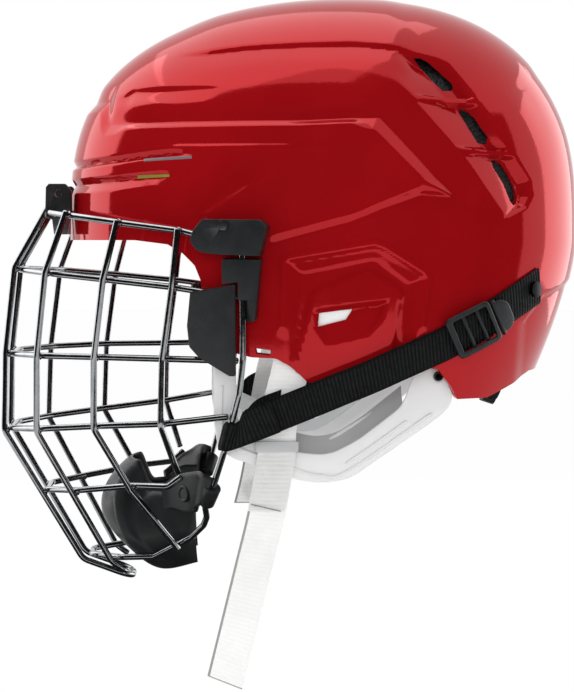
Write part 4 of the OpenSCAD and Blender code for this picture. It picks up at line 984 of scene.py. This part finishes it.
# Thick and glossy, with faint flow marks a few centimetres long
flow = add(tree, "TexNoise", {"Vector": place, "Scale": 35.0, "Detail": 2.0})
tone = add(tree, "ValToRGB", {"Fac": flow.outputs["Fac"]}, ((0, "#c3c5c6"), (1, "#d3d5d6")))
flow_bump = add(tree, "Bump", {"Height": flow.outputs["Fac"], "Strength": 0.2, "Distance": 0.0005})
feed(tree.nodes["Principled BSDF"], {
    "Base Color": tone.outputs["Color"], "Normal": flow_bump.outputs["Normal"], "Roughness": 0.22,
    "IOR": 1.58, "Transmission Weight": 0.15})


rivet_holes = [ring_hole(p, RIVET_D + 2 * GAP) for p in GUARD_RIVETS]
guard_plate = plate("guard_plate", [rounded(GUARD_OUTLINE, 6, 5)] + rivet_holes, GUARD_T, 0.7,
                    lambda u, v, w: (u, -(GUARD_Y + w), v))
# A raised bead runs inside the outer edge, and a long one strengthens the wide part
bead_pieces = []
for number, (path, count) in enumerate(BEAD_PATHS):
    line = [(u, -(GUARD_Y + GUARD_T + 0.1), v) for u, v in eased(path, count)]
    bead_pieces.append(make_wire(f"guard_bead_{number}", line, BEAD_D, 10))
# The lip turns in from the plate's inner edge, and thins out towards both its ends
cols, rows = 60, 14
lip_line = eased(LIP_PATH, cols)
outer, inner = np.zeros((rows, cols, 3)), np.zeros((rows, cols, 3))
for i in range(rows):
    t = i / (rows - 1)
    turn = t * math.pi / 2
    down = GUARD_RISE * (0.35 * (1 - math.cos(turn)) + 0.65 * t)
    inward = GUARD_IN * (0.75 * t + 0.25 * math.sin(turn))
    for j, (u, v) in enumerate(lip_line):
        fade = min(1, j / 6, (cols - 1 - j) / 6)
        y = -(GUARD_Y + 0.3) + inward
        outer[i, j] = (u, y, v - GUARD_T * (0.6 + 0.4 * fade) + down)
        inner[i, j] = (u, y, v - 0.2 + down)
lip = make_slab("guard_lip", outer, inner)
# A long slot in the lip shows the pale plate behind it
lip_places = outer.reshape(-1, 3)
slot_ends = [lip_places[np.hypot(lip_places[:, 0] - u, lip_places[:, 2] - v).argmin()]
             for u, v in SLOT_ENDS]
bead_pieces.append(make_wire("guard_slot", slot_ends, SLOT_D, 12))
for piece in [guard_plate] + bead_pieces:
    piece.data.materials.append(frosted)
lip.data.materials.append(lip_grey)
guard = joined("left_ear_guard_moulding", [guard_plate, lip] + bead_pieces)
fit_pair(guard, "left_ear_guard")


# Rivets, saddles and screws
# Zinc-plated steel, headed cold. The plating is dull beside the cage's chrome and holds fine
# scratches.
zinc, tree, place = surface("zinc_plated_steel")
# Scratches and crystals of about 2 mm, much coarser than real so that they show
grain = add(tree, "TexNoise", {"Vector": place, "Scale": 420.0, "Detail": 4.0})
tone = add(tree, "ValToRGB", {"Fac": grain.outputs["Fac"]}, ((0, "#8d9093"), (1, "#b9bcbe")))
rough = add(tree, "MapRange", {"Value": grain.outputs["Fac"], "To Min": 0.22, "To Max": 0.42})
grain_bump = add(tree, "Bump", {"Height": grain.outputs["Fac"], "Strength": 0.15, "Distance": 0.0002})
feed(tree.nodes["Principled BSDF"], {
    "Base Color": tone.outputs["Color"], "Roughness": rough.outputs["Result"],
    "Normal": grain_bump.outputs["Normal"], "Metallic": 1.0})
for node, edge in (("forehead_saddles", 0.5), ("side_clip_screws", 0.3)):
    dress(node, zinc, edge)
# The shell's rivets are the same steel, blacked
blacked = zinc.copy()
blacked.name = "blacked_steel"
for stop, colour in zip(blacked.node_tree.nodes["Color Ramp"].color_ramp.elements, ("#161617", "#29292b")):
    stop.color = linear(colour)
dress("shell_rivets", blacked, 0.35)


# Forehead clips, side clips, sleeves and side plates
# Black nylon, injection moulded against a spark-eroded tool, so it is satin with a fine grain.
# Clips are screwed to the shell, sleeves and plates grip the cage's wires.
nylon, tree, place = surface("black_moulded_nylon")
# Spark grain about 0.7 mm across, coarser than real so that it shows, with patches rubbed by wear
spark = add(tree, "TexNoise", {"Vector": place, "Scale": 1400.0, "Detail": 2.0})
spark_bump = add(tree, "Bump", {"Height": spark.outputs["Fac"], "Strength": 0.35, "Distance": 0.0002})
wear = add(tree, "TexNoise", {"Vector": place, "Scale": 120.0, "Detail": 5.0, "Roughness": 0.6})
tone = add(tree, "ValToRGB", {"Fac": wear.outputs["Fac"]}, ((0.35, "#1b1c1e"), (0.7, "#242628")))
rough = add(tree, "MapRange", {"Value": wear.outputs["Fac"], "To Min": 0.34, "To Max": 0.5})
feed(tree.nodes["Principled BSDF"], {
    "Base Color": tone.outputs["Color"], "Roughness": rough.outputs["Result"],
    "Normal": spark_bump.outputs["Normal"], "IOR": 1.53})
for name in ("left", "right"):
    dress(name + "_forehead_clip", nylon, 0.7)
    dress(name + "_side_clip", nylon, 0.35)
    dress(name + "_sleeve", nylon, 0.5)
    dress(name + "_side_plate", nylon, 0.7)


# Inserts in the shell
# Thin strips of nylon, heat-staked from inside. A grey one and a yellow-green one close the brow's
# two side slots, flush with the groove's floor, and a white one backs the ear's opening. The grey and
# the yellow-green are set darker than their own colour, as painted shade for the groove they sit in.
INSERT_T, EAR_BACK_IN, EAR_BACK_OVER, SUNK = 0.8, 5.0, 1.5, 0.12
insert_skins = []
# The grey and the lime tones below are set darker, as painted shade for the brow groove
for name, dark, light in (("grey_nylon_with_painted_shade", "#6b6064", "#7c7175"),
                          ("lime_nylon_with_painted_shade", "#77771a", "#8c8a24"),
                          ("white_moulded_nylon", "#eceded", "#f6f6f6")):
    skin, tree, place = surface(name)
    insert_skins.append(skin)
    # Spark grain about 1.1 mm across, coarser than real so that it shows
    spark = add(tree, "TexNoise", {"Vector": place, "Scale": 900.0, "Detail": 3.0})
    tone = add(tree, "ValToRGB", {"Fac": spark.outputs["Fac"]}, ((0, dark), (1, light)))
    spark_bump = add(tree, "Bump", {"Height": spark.outputs["Fac"], "Strength": 0.3, "Distance": 0.0002})
    feed(tree.nodes["Principled BSDF"], {
        "Base Color": tone.outputs["Color"], "Normal": spark_bump.outputs["Normal"], "Roughness": 0.42})
inserts = zip((*BROW_SLOTS, EAR_HOLE), insert_skins, (None, None, EAR_BACK_IN))
for number, (outline, skin, deep) in enumerate(inserts, 1):
    wide = EAR_BACK_OVER if deep else 0
    low, high = np.array(outline).min(0) - wide, np.array(outline).max(0) + wide
    u, v = np.meshgrid(np.linspace(low[0], high[0], 40), np.linspace(0, 1, 7))
    if deep:
        v = low[1] + v * (high[1] - low[1])
        level = np.full(u.shape, deep)
    else:
        feet, heads = np.array(outline[:2]), np.array(outline[2:])[::-1]
        below = np.interp(u, feet[:, 0], feet[:, 1])
        v = below + v * (np.interp(u, heads[:, 0], heads[:, 1]) - below)
        level = -moulding(np.stack([u, -side_y(u, v), v], -1)) - SUNK
    y = -side_y(u, v) + level
    strip = make_slab(f"left_shell_insert_{number}", np.stack([u, y, v], -1),
                      np.stack([u, y + INSERT_T, v], -1))
    strip.data.materials.append(skin)
    for piece in (strip, mirrored(strip, f"right_shell_insert_{number}")):
        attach(piece, "helmet")


# Black harness straps
# Polypropylene webbing, 16 mm wide, woven with a raised cross rib every 2 mm or so and a flat
# selvedge along both edges. It runs from a slot at the back of the shell down to the cage.
HARNESS_W, HARNESS_T, LIFT = 16.0, 1.6, 0.5
STRAP_LINE = [(107, -20.5), (101, -24), (95, -27.5), (89, -31), (83, -34.5), (76, -38.5), (69, -42.5),
              (61.5, -46.3), (54, -50), (47, -53), (40, -56), (31.5, -59.7), (23, -63.5), (14, -67.3),
              (6, -70.5), (-11, -77.5), (-38, -88.5)]
STRAP_END_Y, STRAP_FREE_X, STRAP_SPREAD, RIM_Z = 84.6, 2.0, 0.082, -70.0
RIB_PITCH, RIB_RISE, RIB_STEP = 1.9, 0.45, 0.38
OUTWARD = (0, -1, 0)


def strap_y(x, z):
    """How far out the strap lies in mm: on the shell, and then straight to the frame wire."""
    if x < STRAP_FREE_X:
        return STRAP_END_Y + STRAP_SPREAD * (x - STRAP_LINE[-1][0])
    return float(side_y(x, max(z, RIM_Z))) + LIFT


def ribbon(name, rows, thick, pitch, rise, outward, step, across=9, trim=None):
    """Woven webbing along rows of points across it, with a rib every pitch mm on both faces, whose
    height its material reads as crest. outward is a rough direction of its outer face, and step is
    the mesh's step in mm. trim(s) shortens the end in mm at s across, from -1 to 1."""
    rows = np.array(rows, float)
    dense = eased(rows.reshape(len(rows), -1), 40 * len(rows)).reshape(-1, *rows.shape[1:])
    run = np.linalg.norm(np.diff(dense[:, rows.shape[1] // 2], axis=0), axis=1)
    place = np.concatenate([[0], np.cumsum(run)])
    count = max(3, int(place[-1] / step))
    s = np.linspace(-1, 1, across)
    known = np.linspace(-1, 1, rows.shape[1])
    grid = np.zeros((count + 1, across, 3))
    at = np.linspace(0, place[-1], count + 1)
    for c in range(across):
        end = place[-1] - (trim(s[c]) if trim else 0)
        for axis in range(3):
            along = [np.interp(at * end / place[-1], place, dense[:, q, axis])
                     for q in range(rows.shape[1])]
            grid[:, c, axis] = [np.interp(s[c], known, [a[i] for a in along]) for i in range(count + 1)]
    n = np.cross(np.gradient(grid, axis=0), np.gradient(grid, axis=1))
    n /= np.linalg.norm(n, axis=-1, keepdims=True)
    if (n[0, across // 2] @ np.array(outward)) < 0:
        n = -n
    edge = 1 - 0.45 * smooth((np.abs(s) - 0.86) / 0.14)
    wave = 0.5 - 0.5 * np.cos(2 * np.pi * at / pitch)
    rib = wave[:, None] * (1 - smooth((np.abs(s) - 0.8) / 0.12))[None, :]
    half = (thick / 2 - rise * 0.5) * edge[None, :]
    web = make_slab(name, grid + n * (half + rise * rib)[..., None],
                    grid - n * (half + 0.6 * rise * rib)[..., None], 60)
    crest = web.data.attributes.new("crest", "FLOAT", "POINT")
    crest.data.foreach_set("value", np.tile(rib.ravel(), 2))
    return web


black_web, tree, place = surface("black_woven_polypropylene")
# Yarns about 0.8 mm apart, crossed by a finer set, a little coarser than real
yarn = add(tree, "TexVoronoi", {"Vector": place, "Scale": 1250.0}, feature="SMOOTH_F1")
fuzz = add(tree, "TexNoise", {"Vector": place, "Scale": 420.0, "Detail": 5.0})
tone = add(tree, "ValToRGB", {"Fac": fuzz.outputs["Fac"]}, ((0.3, "#131415"), (0.75, "#232526")))
# Light reaches the crests of the ribs and hardly the gaps between them
crest = add(tree, "Attribute", attribute_name="crest")
tone = add(tree, "MixRGB", {"Fac": crest.outputs["Fac"], "Color1": linear("#030304"),
                            "Color2": tone.outputs["Color"]})
yarn_bump = add(tree, "Bump", {"Height": yarn.outputs["Distance"], "Strength": 0.7, "Distance": 0.0004})
feed(tree.nodes["Principled BSDF"], {
    "Base Color": tone.outputs["Color"], "Normal": yarn_bump.outputs["Normal"], "Roughness": 0.62,
    "Specular IOR Level": 0.3})

rows = []
for i, (x, z) in enumerate(STRAP_LINE):
    a, b = STRAP_LINE[max(i - 1, 0)], STRAP_LINE[min(i + 1, len(STRAP_LINE) - 1)]
    d = np.array([b[0] - a[0], b[1] - a[1]], float)
    d /= np.linalg.norm(d)
    row = []
    for j in (-1, 0, 1):
        px, pz = x + d[1] * j * HARNESS_W / 2, z - d[0] * j * HARNESS_W / 2
        row.append((px, -strap_y(px, pz) - HARNESS_T / 2, pz))
    rows.append(row)
# The upper end is cut at a slant, where it dives into its slot
strap = ribbon("left_harness_webbing", rows[::-1], HARNESS_T, RIB_PITCH, RIB_RISE, OUTWARD, RIB_STEP,
               trim=lambda s: 4.5 * (1 - s))
fit_pair(strap, "left_harness_strap", "helmet", black_web)

# Folded ends that go round the cage's frame wire. A flat row holds its upper and its lower corner
# as x and z, and its y. A row round the wire holds its steps off the wire's middle in x and y, and
# the way that its face looks there.
FOLD_OUT = [[(-30, -76.8), (-24, -91.6), 87.7], [(-41, -81.1), (-35, -95.9), 86.8]]
FOLD_WRAP = [(3, 1.9, 0, 1), (-1.2, 1.9, -0.5, 0.85), (-2.1, 0, -1, 0), (-1.2, -1.9, -0.5, -0.85),
             (3, -1.9, 0, -1)]
FOLD_WRAP_Z = (-87.4, -101)
FOLD_BACK = [[(-36, -77), (-36, -90), 82.9], [(-23.5, -71.5), (-24.5, -83), 83.9]]
ACROSS_FOLD = (1, 0.5, 0)
half_t = HARNESS_T / 2


def fold_flat(row, out):
    """The places across a flat row, moved out by so many mm."""
    high, low = np.array(row[0], float), np.array(row[1], float)
    places = [high + t * (low - high) for t in ACROSS_FOLD]
    return [(x, -row[2] - out, z) for x, z in places]


fold_rows = [fold_flat(row, half_t) for row in FOLD_OUT]
for dx, dy, face_x, face_y in FOLD_WRAP:
    row = []
    for t in ACROSS_FOLD:
        z = FOLD_WRAP_Z[0] + t * (FOLD_WRAP_Z[1] - FOLD_WRAP_Z[0])
        c = LOOP_FROM + (z - LOOP_FROM[2]) / (LOOP_TO[2] - LOOP_FROM[2]) * (LOOP_TO - LOOP_FROM)
        row.append((c[0] + dx + half_t * face_x, c[1] - dy - half_t * face_y, c[2]))
    fold_rows.append(row)
fold_rows += [fold_flat(row, -half_t) for row in FOLD_BACK]
fold = ribbon("left_cage_fold", fold_rows, HARNESS_T, RIB_PITCH, RIB_RISE, OUTWARD, RIB_STEP)
fit_pair(fold, "left_cage_loop", "cage", black_web)


# Buckles and their levers
# Ladder buckles of black acetal, moulded in one piece, with a D-shaped lever behind that turns on
# a pin. They curve a little with the strap under them.
BUCKLE_AT, BUCKLE_TURN = (69, -43), math.radians(25)
BUCKLE_L, BUCKLE_W, BUCKLE_T = 24.0, 21.0, 3.6
LEVER_L, LEVER_T, LEVER_LOW, PIN_END, BEND_CELL = 7.5, 2.4, 0.4, 0.8, 4
LEVER_AT = BUCKLE_L / 2 + 2 * GAP + LEVER_T / 2


def on_strap(u, w, high):
    """A place on the buckle by mm along the strap, across it and out from it."""
    x = BUCKLE_AT[0] + u * math.cos(BUCKLE_TURN) - w * math.sin(BUCKLE_TURN)
    z = BUCKLE_AT[1] + u * math.sin(BUCKLE_TURN) + w * math.cos(BUCKLE_TURN)
    return (x, -strap_y(x, z) - HARNESS_T - GAP - high, z)


def box_outline(u0, u1, w):
    """A box from u0 to u1 and w to each side."""
    return [(u0, -w), (u0, w), (u1, w), (u1, -w)]


outlines = [rounded(box_outline(-BUCKLE_L / 2, BUCKLE_L / 2, BUCKLE_W / 2), 3.0, 6),
            rounded(box_outline(-8.75, 9.75, 8)[::-1], 1.0, 4)]
buckle = plate("left_buckle_body", outlines, BUCKLE_T, 0.6, on_strap, BEND_CELL)
bars = [make_wire(f"left_buckle_bar_{i}", [vec(on_strap(u, w, 1.1)) for w in (-8.5, 8.5)], 2.0, 16)
        for i, u in enumerate((-2.75, 4.75))]
buckle = joined("left_buckle_body", [buckle] + bars)
tab_line = [(LEVER_AT, -7.6), (LEVER_AT, 7.6), (LEVER_AT + 3.4, 8.2), (LEVER_AT + LEVER_L, 5.2),
            (LEVER_AT + LEVER_L, -5.2), (LEVER_AT + 3.4, -8.2)]
tab = plate("left_lever_tab", [rounded(tab_line, 3.2, 6)], LEVER_T, 0.5,
            lambda u, w, high: on_strap(u, w, LEVER_LOW + high), BEND_CELL)
pin_ends = [vec(on_strap(LEVER_AT, w, LEVER_LOW + LEVER_T / 2)) for w in (-0.4 * BUCKLE_W, 0.4 * BUCKLE_W)]
beyond = PIN_END * unit(pin_ends[1] - pin_ends[0])
pin = make_wire("left_lever_pin", [pin_ends[0] - beyond, pin_ends[1] + beyond], LEVER_T, 24)
lever = joined("left_lever_tab", [tab, pin])
fit_pair(buckle, "left_buckle", "helmet", nylon)
fit_pair(lever, "left_buckle_lever", "left_lever", nylon)


# White webbing and chin straps
# Polyester webbing, 18.5 mm wide and 1.4 mm thick, woven flat with fine cross ribs. The upper
# length is riveted inside the shell and loops through the strap bar, and the lower one hangs from it.
WEBBING_W, WEBBING_T = 18.5, 1.4
BAR_AT, BAR_SIZE = (-25.5, -99.5), (21, 5)
WEBBING_LINE = [(-18, -46), (-18, -57), (-22, -74), (-25, -90), (BAR_AT[0], BAR_AT[1] + BAR_SIZE[1] / 2)]
BAR_IN = GUARD_Y + GUARD_T + GAP
WEBBING_OUT, WEBBING_ROOT = BAR_IN + 2.9, 82.7
LOOSE_END, SHORT_DROP = 120.6, 46.0
FINE_PITCH, FINE_RISE, FINE_STEP = 2.2, 0.16, 0.31
FOLD_T, STITCH_PITCH, THREAD_D = 0.9, 2.1, 0.6

white_web, tree, place = surface("white_woven_polyester")
# Twill lines run at a slant, 1.1 mm apart, which is about twice the real yarn
slant = add(tree, "Mapping", {"Vector": place, "Rotation": (0, math.radians(38), 0)})
twill = add(tree, "TexWave", {"Vector": slant.outputs["Vector"], "Scale": 285.0, "Distortion": 0.6,
                              "Detail": 1.0, "Detail Scale": 3.0}, wave_type="BANDS", bands_direction="X")
soil = add(tree, "TexNoise", {"Vector": place, "Scale": 45.0, "Detail": 4.0})
tone = add(tree, "ValToRGB", {"Fac": soil.outputs["Fac"]}, ((0.35, "#f1f1f0"), (0.6, "#fafaf9")))
shade = add(tree, "MixRGB", {"Fac": 0.03, "Color1": tone.outputs["Color"],
                             "Color2": twill.outputs["Color"]}, blend_type="MULTIPLY")
# Painted shade: the gaps between the ribs are darkened towards a light grey, as less light reaches them
crest = add(tree, "Attribute", attribute_name="crest")
rib_gap_shade = add(tree, "MixRGB", {"Fac": 0.93, "Color1": linear("#a8a8a6"), "Color2": shade.outputs["Color"]})
shade = add(tree, "MixRGB", {"Fac": crest.outputs["Fac"], "Color1": rib_gap_shade.outputs["Color"],
                             "Color2": shade.outputs["Color"]})
twill_bump = add(tree, "Bump", {"Height": twill.outputs["Fac"], "Strength": 0.16, "Distance": 0.0003})
# Light soaks through the thin white weave
feed(tree.nodes["Principled BSDF"], {
    "Base Color": shade.outputs["Color"], "Normal": twill_bump.outputs["Normal"], "Roughness": 0.75,
    "Subsurface Weight": 0.5, "Subsurface Radius": (1.0, 1.0, 1.0), "Subsurface Scale": 0.004})
# Painted shade: the front selvedge of the chin straps, their cut end and their stitches are painted grey,
# for the shade along them
selvedge_shade = bpy.data.materials.new("polyester_selvedge_painted_shade")
selvedge_shade.use_nodes = True
feed(selvedge_shade.node_tree.nodes["Principled BSDF"], {"Base Color": linear("#9d9d9b"), "Roughness": 0.8})
EDGE_ROWS, ACROSS = 3, 17


def webbing_y(z):
    """How far out the upper webbing lies in mm: behind the shell, and then out to the bar."""
    if z > -57:
        return WEBBING_ROOT
    return WEBBING_OUT + (WEBBING_ROOT - WEBBING_OUT) * max(0, (z + 97) / 40)


def hang_row(p, y):
    """The places across the webbing at one point of its line."""
    return [(p[0] + s * WEBBING_W / 2, -y + WEBBING_T / 2, p[1]) for s in (1, 0, -1)]


def stitch_row(name, centre, down, width, y):
    """A row of stitches across webbing, each a short curved thread."""
    threads = []
    across = np.array([-down[1], down[0]])
    for k in range(int(width / STITCH_PITCH)):
        c = np.array(centre) + across * ((k + 0.5) * STITCH_PITCH - width / 2)
        a, b = c - across * STITCH_PITCH * 0.36, c + across * STITCH_PITCH * 0.36
        line = [(a[0], -y + 0.25, a[1]), (a[0], -y - 0.05, a[1]), (c[0], -y - 0.3, c[1]),
                (b[0], -y - 0.05, b[1]), (b[0], -y + 0.25, b[1])]
        threads.append(make_wire(f"{name}_{k}", eased(line, 9), THREAD_D, 6))
        # Each thread takes the selvedge's painted shade
        threads[-1].data.materials.append(selvedge_shade)
    return threads


upper = ribbon("left_upper_webbing", [hang_row(p, webbing_y(p[1])) for p in WEBBING_LINE], WEBBING_T,
               FINE_PITCH, FINE_RISE, OUTWARD, FINE_STEP)
fit_pair(upper, "left_webbing", "helmet", white_web)

hang_from = np.array([BAR_AT[0], BAR_AT[1] - BAR_SIZE[1] / 2])
hang_mid = [hang_from + [-2.5, -16], hang_from + [-5.5, -32]]
hang_way = np.array([-21, -85.5]) / math.hypot(21, 85.5)
for node, drop in (("long_chin_strap", LOOSE_END), ("short_chin_strap", SHORT_DROP)):
    is_long = node == "long_chin_strap"
    lower = hang_way * (drop - 32)
    shares = np.linspace(0.25, 1, 4) if is_long else (1,)
    line = [hang_from, *hang_mid] + [hang_mid[1] + lower * t for t in shares]
    # The long strap's end is cut at a slant
    trim = (lambda s: 2.0 + 3.5 * (1 - s)) if is_long else None
    strap = ribbon(node + "_webbing", [hang_row(p, WEBBING_OUT)[::-1] for p in line], WEBBING_T, FINE_PITCH,
                   FINE_RISE, OUTWARD, FINE_STEP, ACROSS, trim)
    strap.data.materials.append(white_web)
    strap.data.materials.append(selvedge_shade)
    length = len(strap.data.vertices) // ACROSS // 2
    # The faces of the front selvedge and of the cut end take the painted shade
    for face in strap.data.polygons:
        if (max(v % ACROSS for v in face.vertices) <= 1
                or min(v // ACROSS % length for v in face.vertices) >= length - EDGE_ROWS):
            face.material_index = 1
    pieces = [strap]
    if is_long:
        # The end is folded back on itself and stitched 29 mm below the bar
        fold_end = hang_mid[0] + (hang_mid[1] - hang_mid[0]) * 0.8
        fold_line = [hang_row(p, WEBBING_OUT + FOLD_T)[::-1] for p in (hang_from, hang_mid[0], fold_end)]
        fold = ribbon(node + "_fold", fold_line, FOLD_T, FINE_PITCH, FINE_RISE, OUTWARD, FINE_STEP)
        fold.data.materials.append(white_web)
        pieces += [fold] + stitch_row(node + "_stitch", fold_end + [0.5, 1.4], hang_way, WEBBING_W - 2,
                                      WEBBING_OUT + 0.75)
    whole = joined(node + "_webbing", pieces)
    if not is_long:
        whole.data.transform(Matrix.Diagonal((1, -1, 1, 1)))
        whole.data.flip_normals()
    stand_in(whole, node, "helmet")
for name in ("left", "right"):
    dress(name + "_strap_bar", lip_grey, 0.7)
dress("chin_strap_slider", nylon, 0.5)


# Nape cradle, its carrier and the dial
# Moulded nylon, grey for the cradle and black for the carrier and dial. The cradle slides on
# two pins that the dial draws in, and a soft pad lines it.
# The cradle takes the brow inserts' grey, which is set darker as painted shade
for node, skin, edge in (("cradle_carrier", nylon, 0.6), ("fit_dial", nylon, 0.5),
                         ("nape_cradle", insert_skins[0], 0.4)):
    dress(node, skin, edge)
CRADLE_IN, CRADLE_T = 30.0, 2.5
nape = soft_pad("nape_pad_cover", (153, 207), (-0.86, -0.52), CRADLE_IN + CRADLE_T + GAP, PAD_T, 60, 30,
                4.0, 0.6, (0.33, 0.67))
stand_in(nape, "nape_pad", "cradle", pad_cloth)


# Chin cup
# Black thermoplastic rubber, moulded in one with its two wings, which clip round the frame wires.
# It is satin, and a plain snap button stands on each wing.
CUP_BACK, CUP_T, CUP_TURN, CUP_ROLL = -62.0, 2.4, 88.0, 0.9


def cup_point(t, v, inset):
    """A point of the cup by turn from its front in degrees and height share, so many mm in."""
    c, s = math.cos(math.radians(t)), math.sin(math.radians(t))
    top = CAGE_LOW + 52 - 15 * float(smooth((abs(t) - 28) / 22)) + 6 * float(smooth((abs(t) - 60) / 20))
    foot = CAGE_LOW - 3.5 + 6.5 * math.cos(math.radians(1.6 * t)) ** 2
    long = 52 - (19 * ((0.5 - v) / 0.5) ** 2 if v < 0.5 else 15 * ((v - 0.5) / 0.5) ** 2)
    wide = 38 - (9 * ((0.5 - v) / 0.5) ** 2 if v < 0.5 else 0)
    return (CUP_BACK - (long - inset) * abs(c) ** 0.85, -(wide - inset) * math.copysign(abs(s) ** 0.85, s),
            foot + v * (top - foot))


def cup_grid(low, high, turn, inset, cols, rows):
    """A grid of the cup's points between two height shares, and turned so far to each side."""
    return np.array([[cup_point(turn * j / cols, low + (high - low) * i / rows, inset(i / rows, j / cols))
                      for j in range(-cols, cols + 1)] for i in range(rows + 1)])


def lip_inset(outer):
    """Rounds the cup's edges. Outside, a raised band runs down each side from the top of the lip."""
    def inset(v, s):
        edge = min(v * 14, (1 - v) * 14, (1 - abs(s)) * 26, 1)
        roll = 1 - math.sqrt(max(0, 1 - (1 - edge) ** 2))
        if not outer:
            return CUP_T - CUP_ROLL * roll
        off = abs(abs(s) - (0.3 + 0.42 * (1 - v))) / 0.085
        band = 1 - float(smooth((off - 0.8) / 0.35))
        return CUP_ROLL * roll - 1.1 * band * (1 - roll) * float(smooth(v / 0.12))
    return inset


rubber, tree, place = surface("black_moulded_rubber")
# Fine pores of about 1 mm, coarser than real, under a cloudy bloom that handling leaves
pores = add(tree, "TexNoise", {"Vector": place, "Scale": 900.0, "Detail": 3.0})
bloom = add(tree, "TexNoise", {"Vector": place, "Scale": 40.0, "Detail": 4.0})
tone = add(tree, "ValToRGB", {"Fac": bloom.outputs["Fac"]}, ((0.35, "#141516"), (0.7, "#202224")))
rough = add(tree, "MapRange", {"Value": bloom.outputs["Fac"], "To Min": 0.3, "To Max": 0.5})
pore_bump = add(tree, "Bump", {"Height": pores.outputs["Fac"], "Strength": 0.25, "Distance": 0.0002})
feed(tree.nodes["Principled BSDF"], {
    "Base Color": tone.outputs["Color"], "Roughness": rough.outputs["Result"],
    "Normal": pore_bump.outputs["Normal"]})

cup = make_slab("cup_bowl", cup_grid(0, 1, CUP_TURN, lip_inset(True), 60, 60),
                cup_grid(0, 1, CUP_TURN, lip_inset(False), 60, 60))
# Wings leave the cup's sides, pass outside the frame wire and curl round it
WING_T, RING_D, RING_W, NO_RIBS = 2.2, 8.4, 12.0, 500
WING_FOOT = [(-80, -35.2, 28), (-76, -37.8, 29), (-71, -43.8, 28), (-67, -49.8, 28.5), (-64.5, -56, 30),
             (-64.2, -61.5, 33), (-60.2, -66.8, 36)]
WING_HEAD = [(-82, -34.8, 40), (-78, -37.6, 43), (-72.5, -46, 47.5), (-67.5, -54, 49.5), (-63.5, -64, 51),
             (-61, -70.8, 50.5), (-56.2, -74.2, 48.5)]
wing_rows = [[vec(foot) + s * (vec(head) - vec(foot)) + vec([0, 0, CAGE_LOW]) for s in (0, 0.5, 1)]
             for foot, head in zip(WING_FOOT, WING_HEAD)]
wing = ribbon("cup_wing", wing_rows, WING_T, NO_RIBS, 0, (-1, -1, 0), 0.9, 21)
ring_at = (LOOP_END + RING_END) / 2
ring_dir = unit(LOOP_END - ring_at)
ring = make_wire("cup_ring", [ring_at - RING_W / 2 * ring_dir, ring_at + RING_W / 2 * ring_dir], RING_D, 40)
# Snap button, a low disc with a raised rim, halfway along the wing
snap_at, snap_n = vec([-69.4, -47.9, CAGE_LOW + 38.0]), unit([-0.78, -0.62, 0.05])
snap_u = unit(np.cross(snap_n, [0, 0, 1]))
snap_v = np.cross(snap_n, snap_u)
# Its profile as radius and height in mm
SNAP_PROFILE = [(0.05, 0.9), (2.6, 0.9), (2.9, 1.3), (3.5, 1.5), (4.1, 1.3), (4.3, 0.6), (4.3, -1.4)]
points, faces, steps = [], [], 32
for i, (r, h) in enumerate(SNAP_PROFILE):
    for k in range(steps):
        a = 2 * math.pi * k / steps
        spoke = math.cos(a) * snap_u + math.sin(a) * snap_v
        points.append(snap_at + snap_n * (h + WING_T / 2) + r * spoke)
        if i:
            a, b = (i - 1) * steps + k, (i - 1) * steps + (k + 1) % steps
            faces.append((a, b, b + steps, a + steps))
faces += [tuple(range(steps)), tuple((len(SNAP_PROFILE) - 1) * steps + k for k in range(steps))]
snap = tidy_normals(make_piece("cup_snap", points, faces))
left_pieces = [wing, ring, snap]
right_pieces = [mirrored(piece, piece.name + "_right") for piece in left_pieces]
cup = joined("chin_cup_moulding", [cup] + left_pieces + right_pieces)
stand_in(cup, "chin_cup", "cage", rubber)

# Soft pad inside the cup
CHIN_PAD_T = 5.0


def pad_inset(inner):
    """Rounds the pad's edges, and presses a groove into its inner face to each side."""
    def inset(v, s):
        edge = min(v * 5, (1 - v) * 5, (1 - abs(s)) * 7, 1)
        roll = math.sqrt(max(0, 1 - (1 - edge) ** 2))
        dent = 0.5 * math.exp(-((abs(s) - 0.35) / 0.03) ** 2)
        return CUP_T + 1.3 * GAP + CHIN_PAD_T * (0.25 + 0.75 * roll - dent if inner else 0.2 * (1 - roll))
    return inset


pad = make_slab("chin_pad_cover", cup_grid(0.12, 0.93, 70, pad_inset(False), 48, 44),
                cup_grid(0.12, 0.93, 70, pad_inset(True), 48, 44))
stand_in(pad, "chin_pad", "cage", pad_cloth)
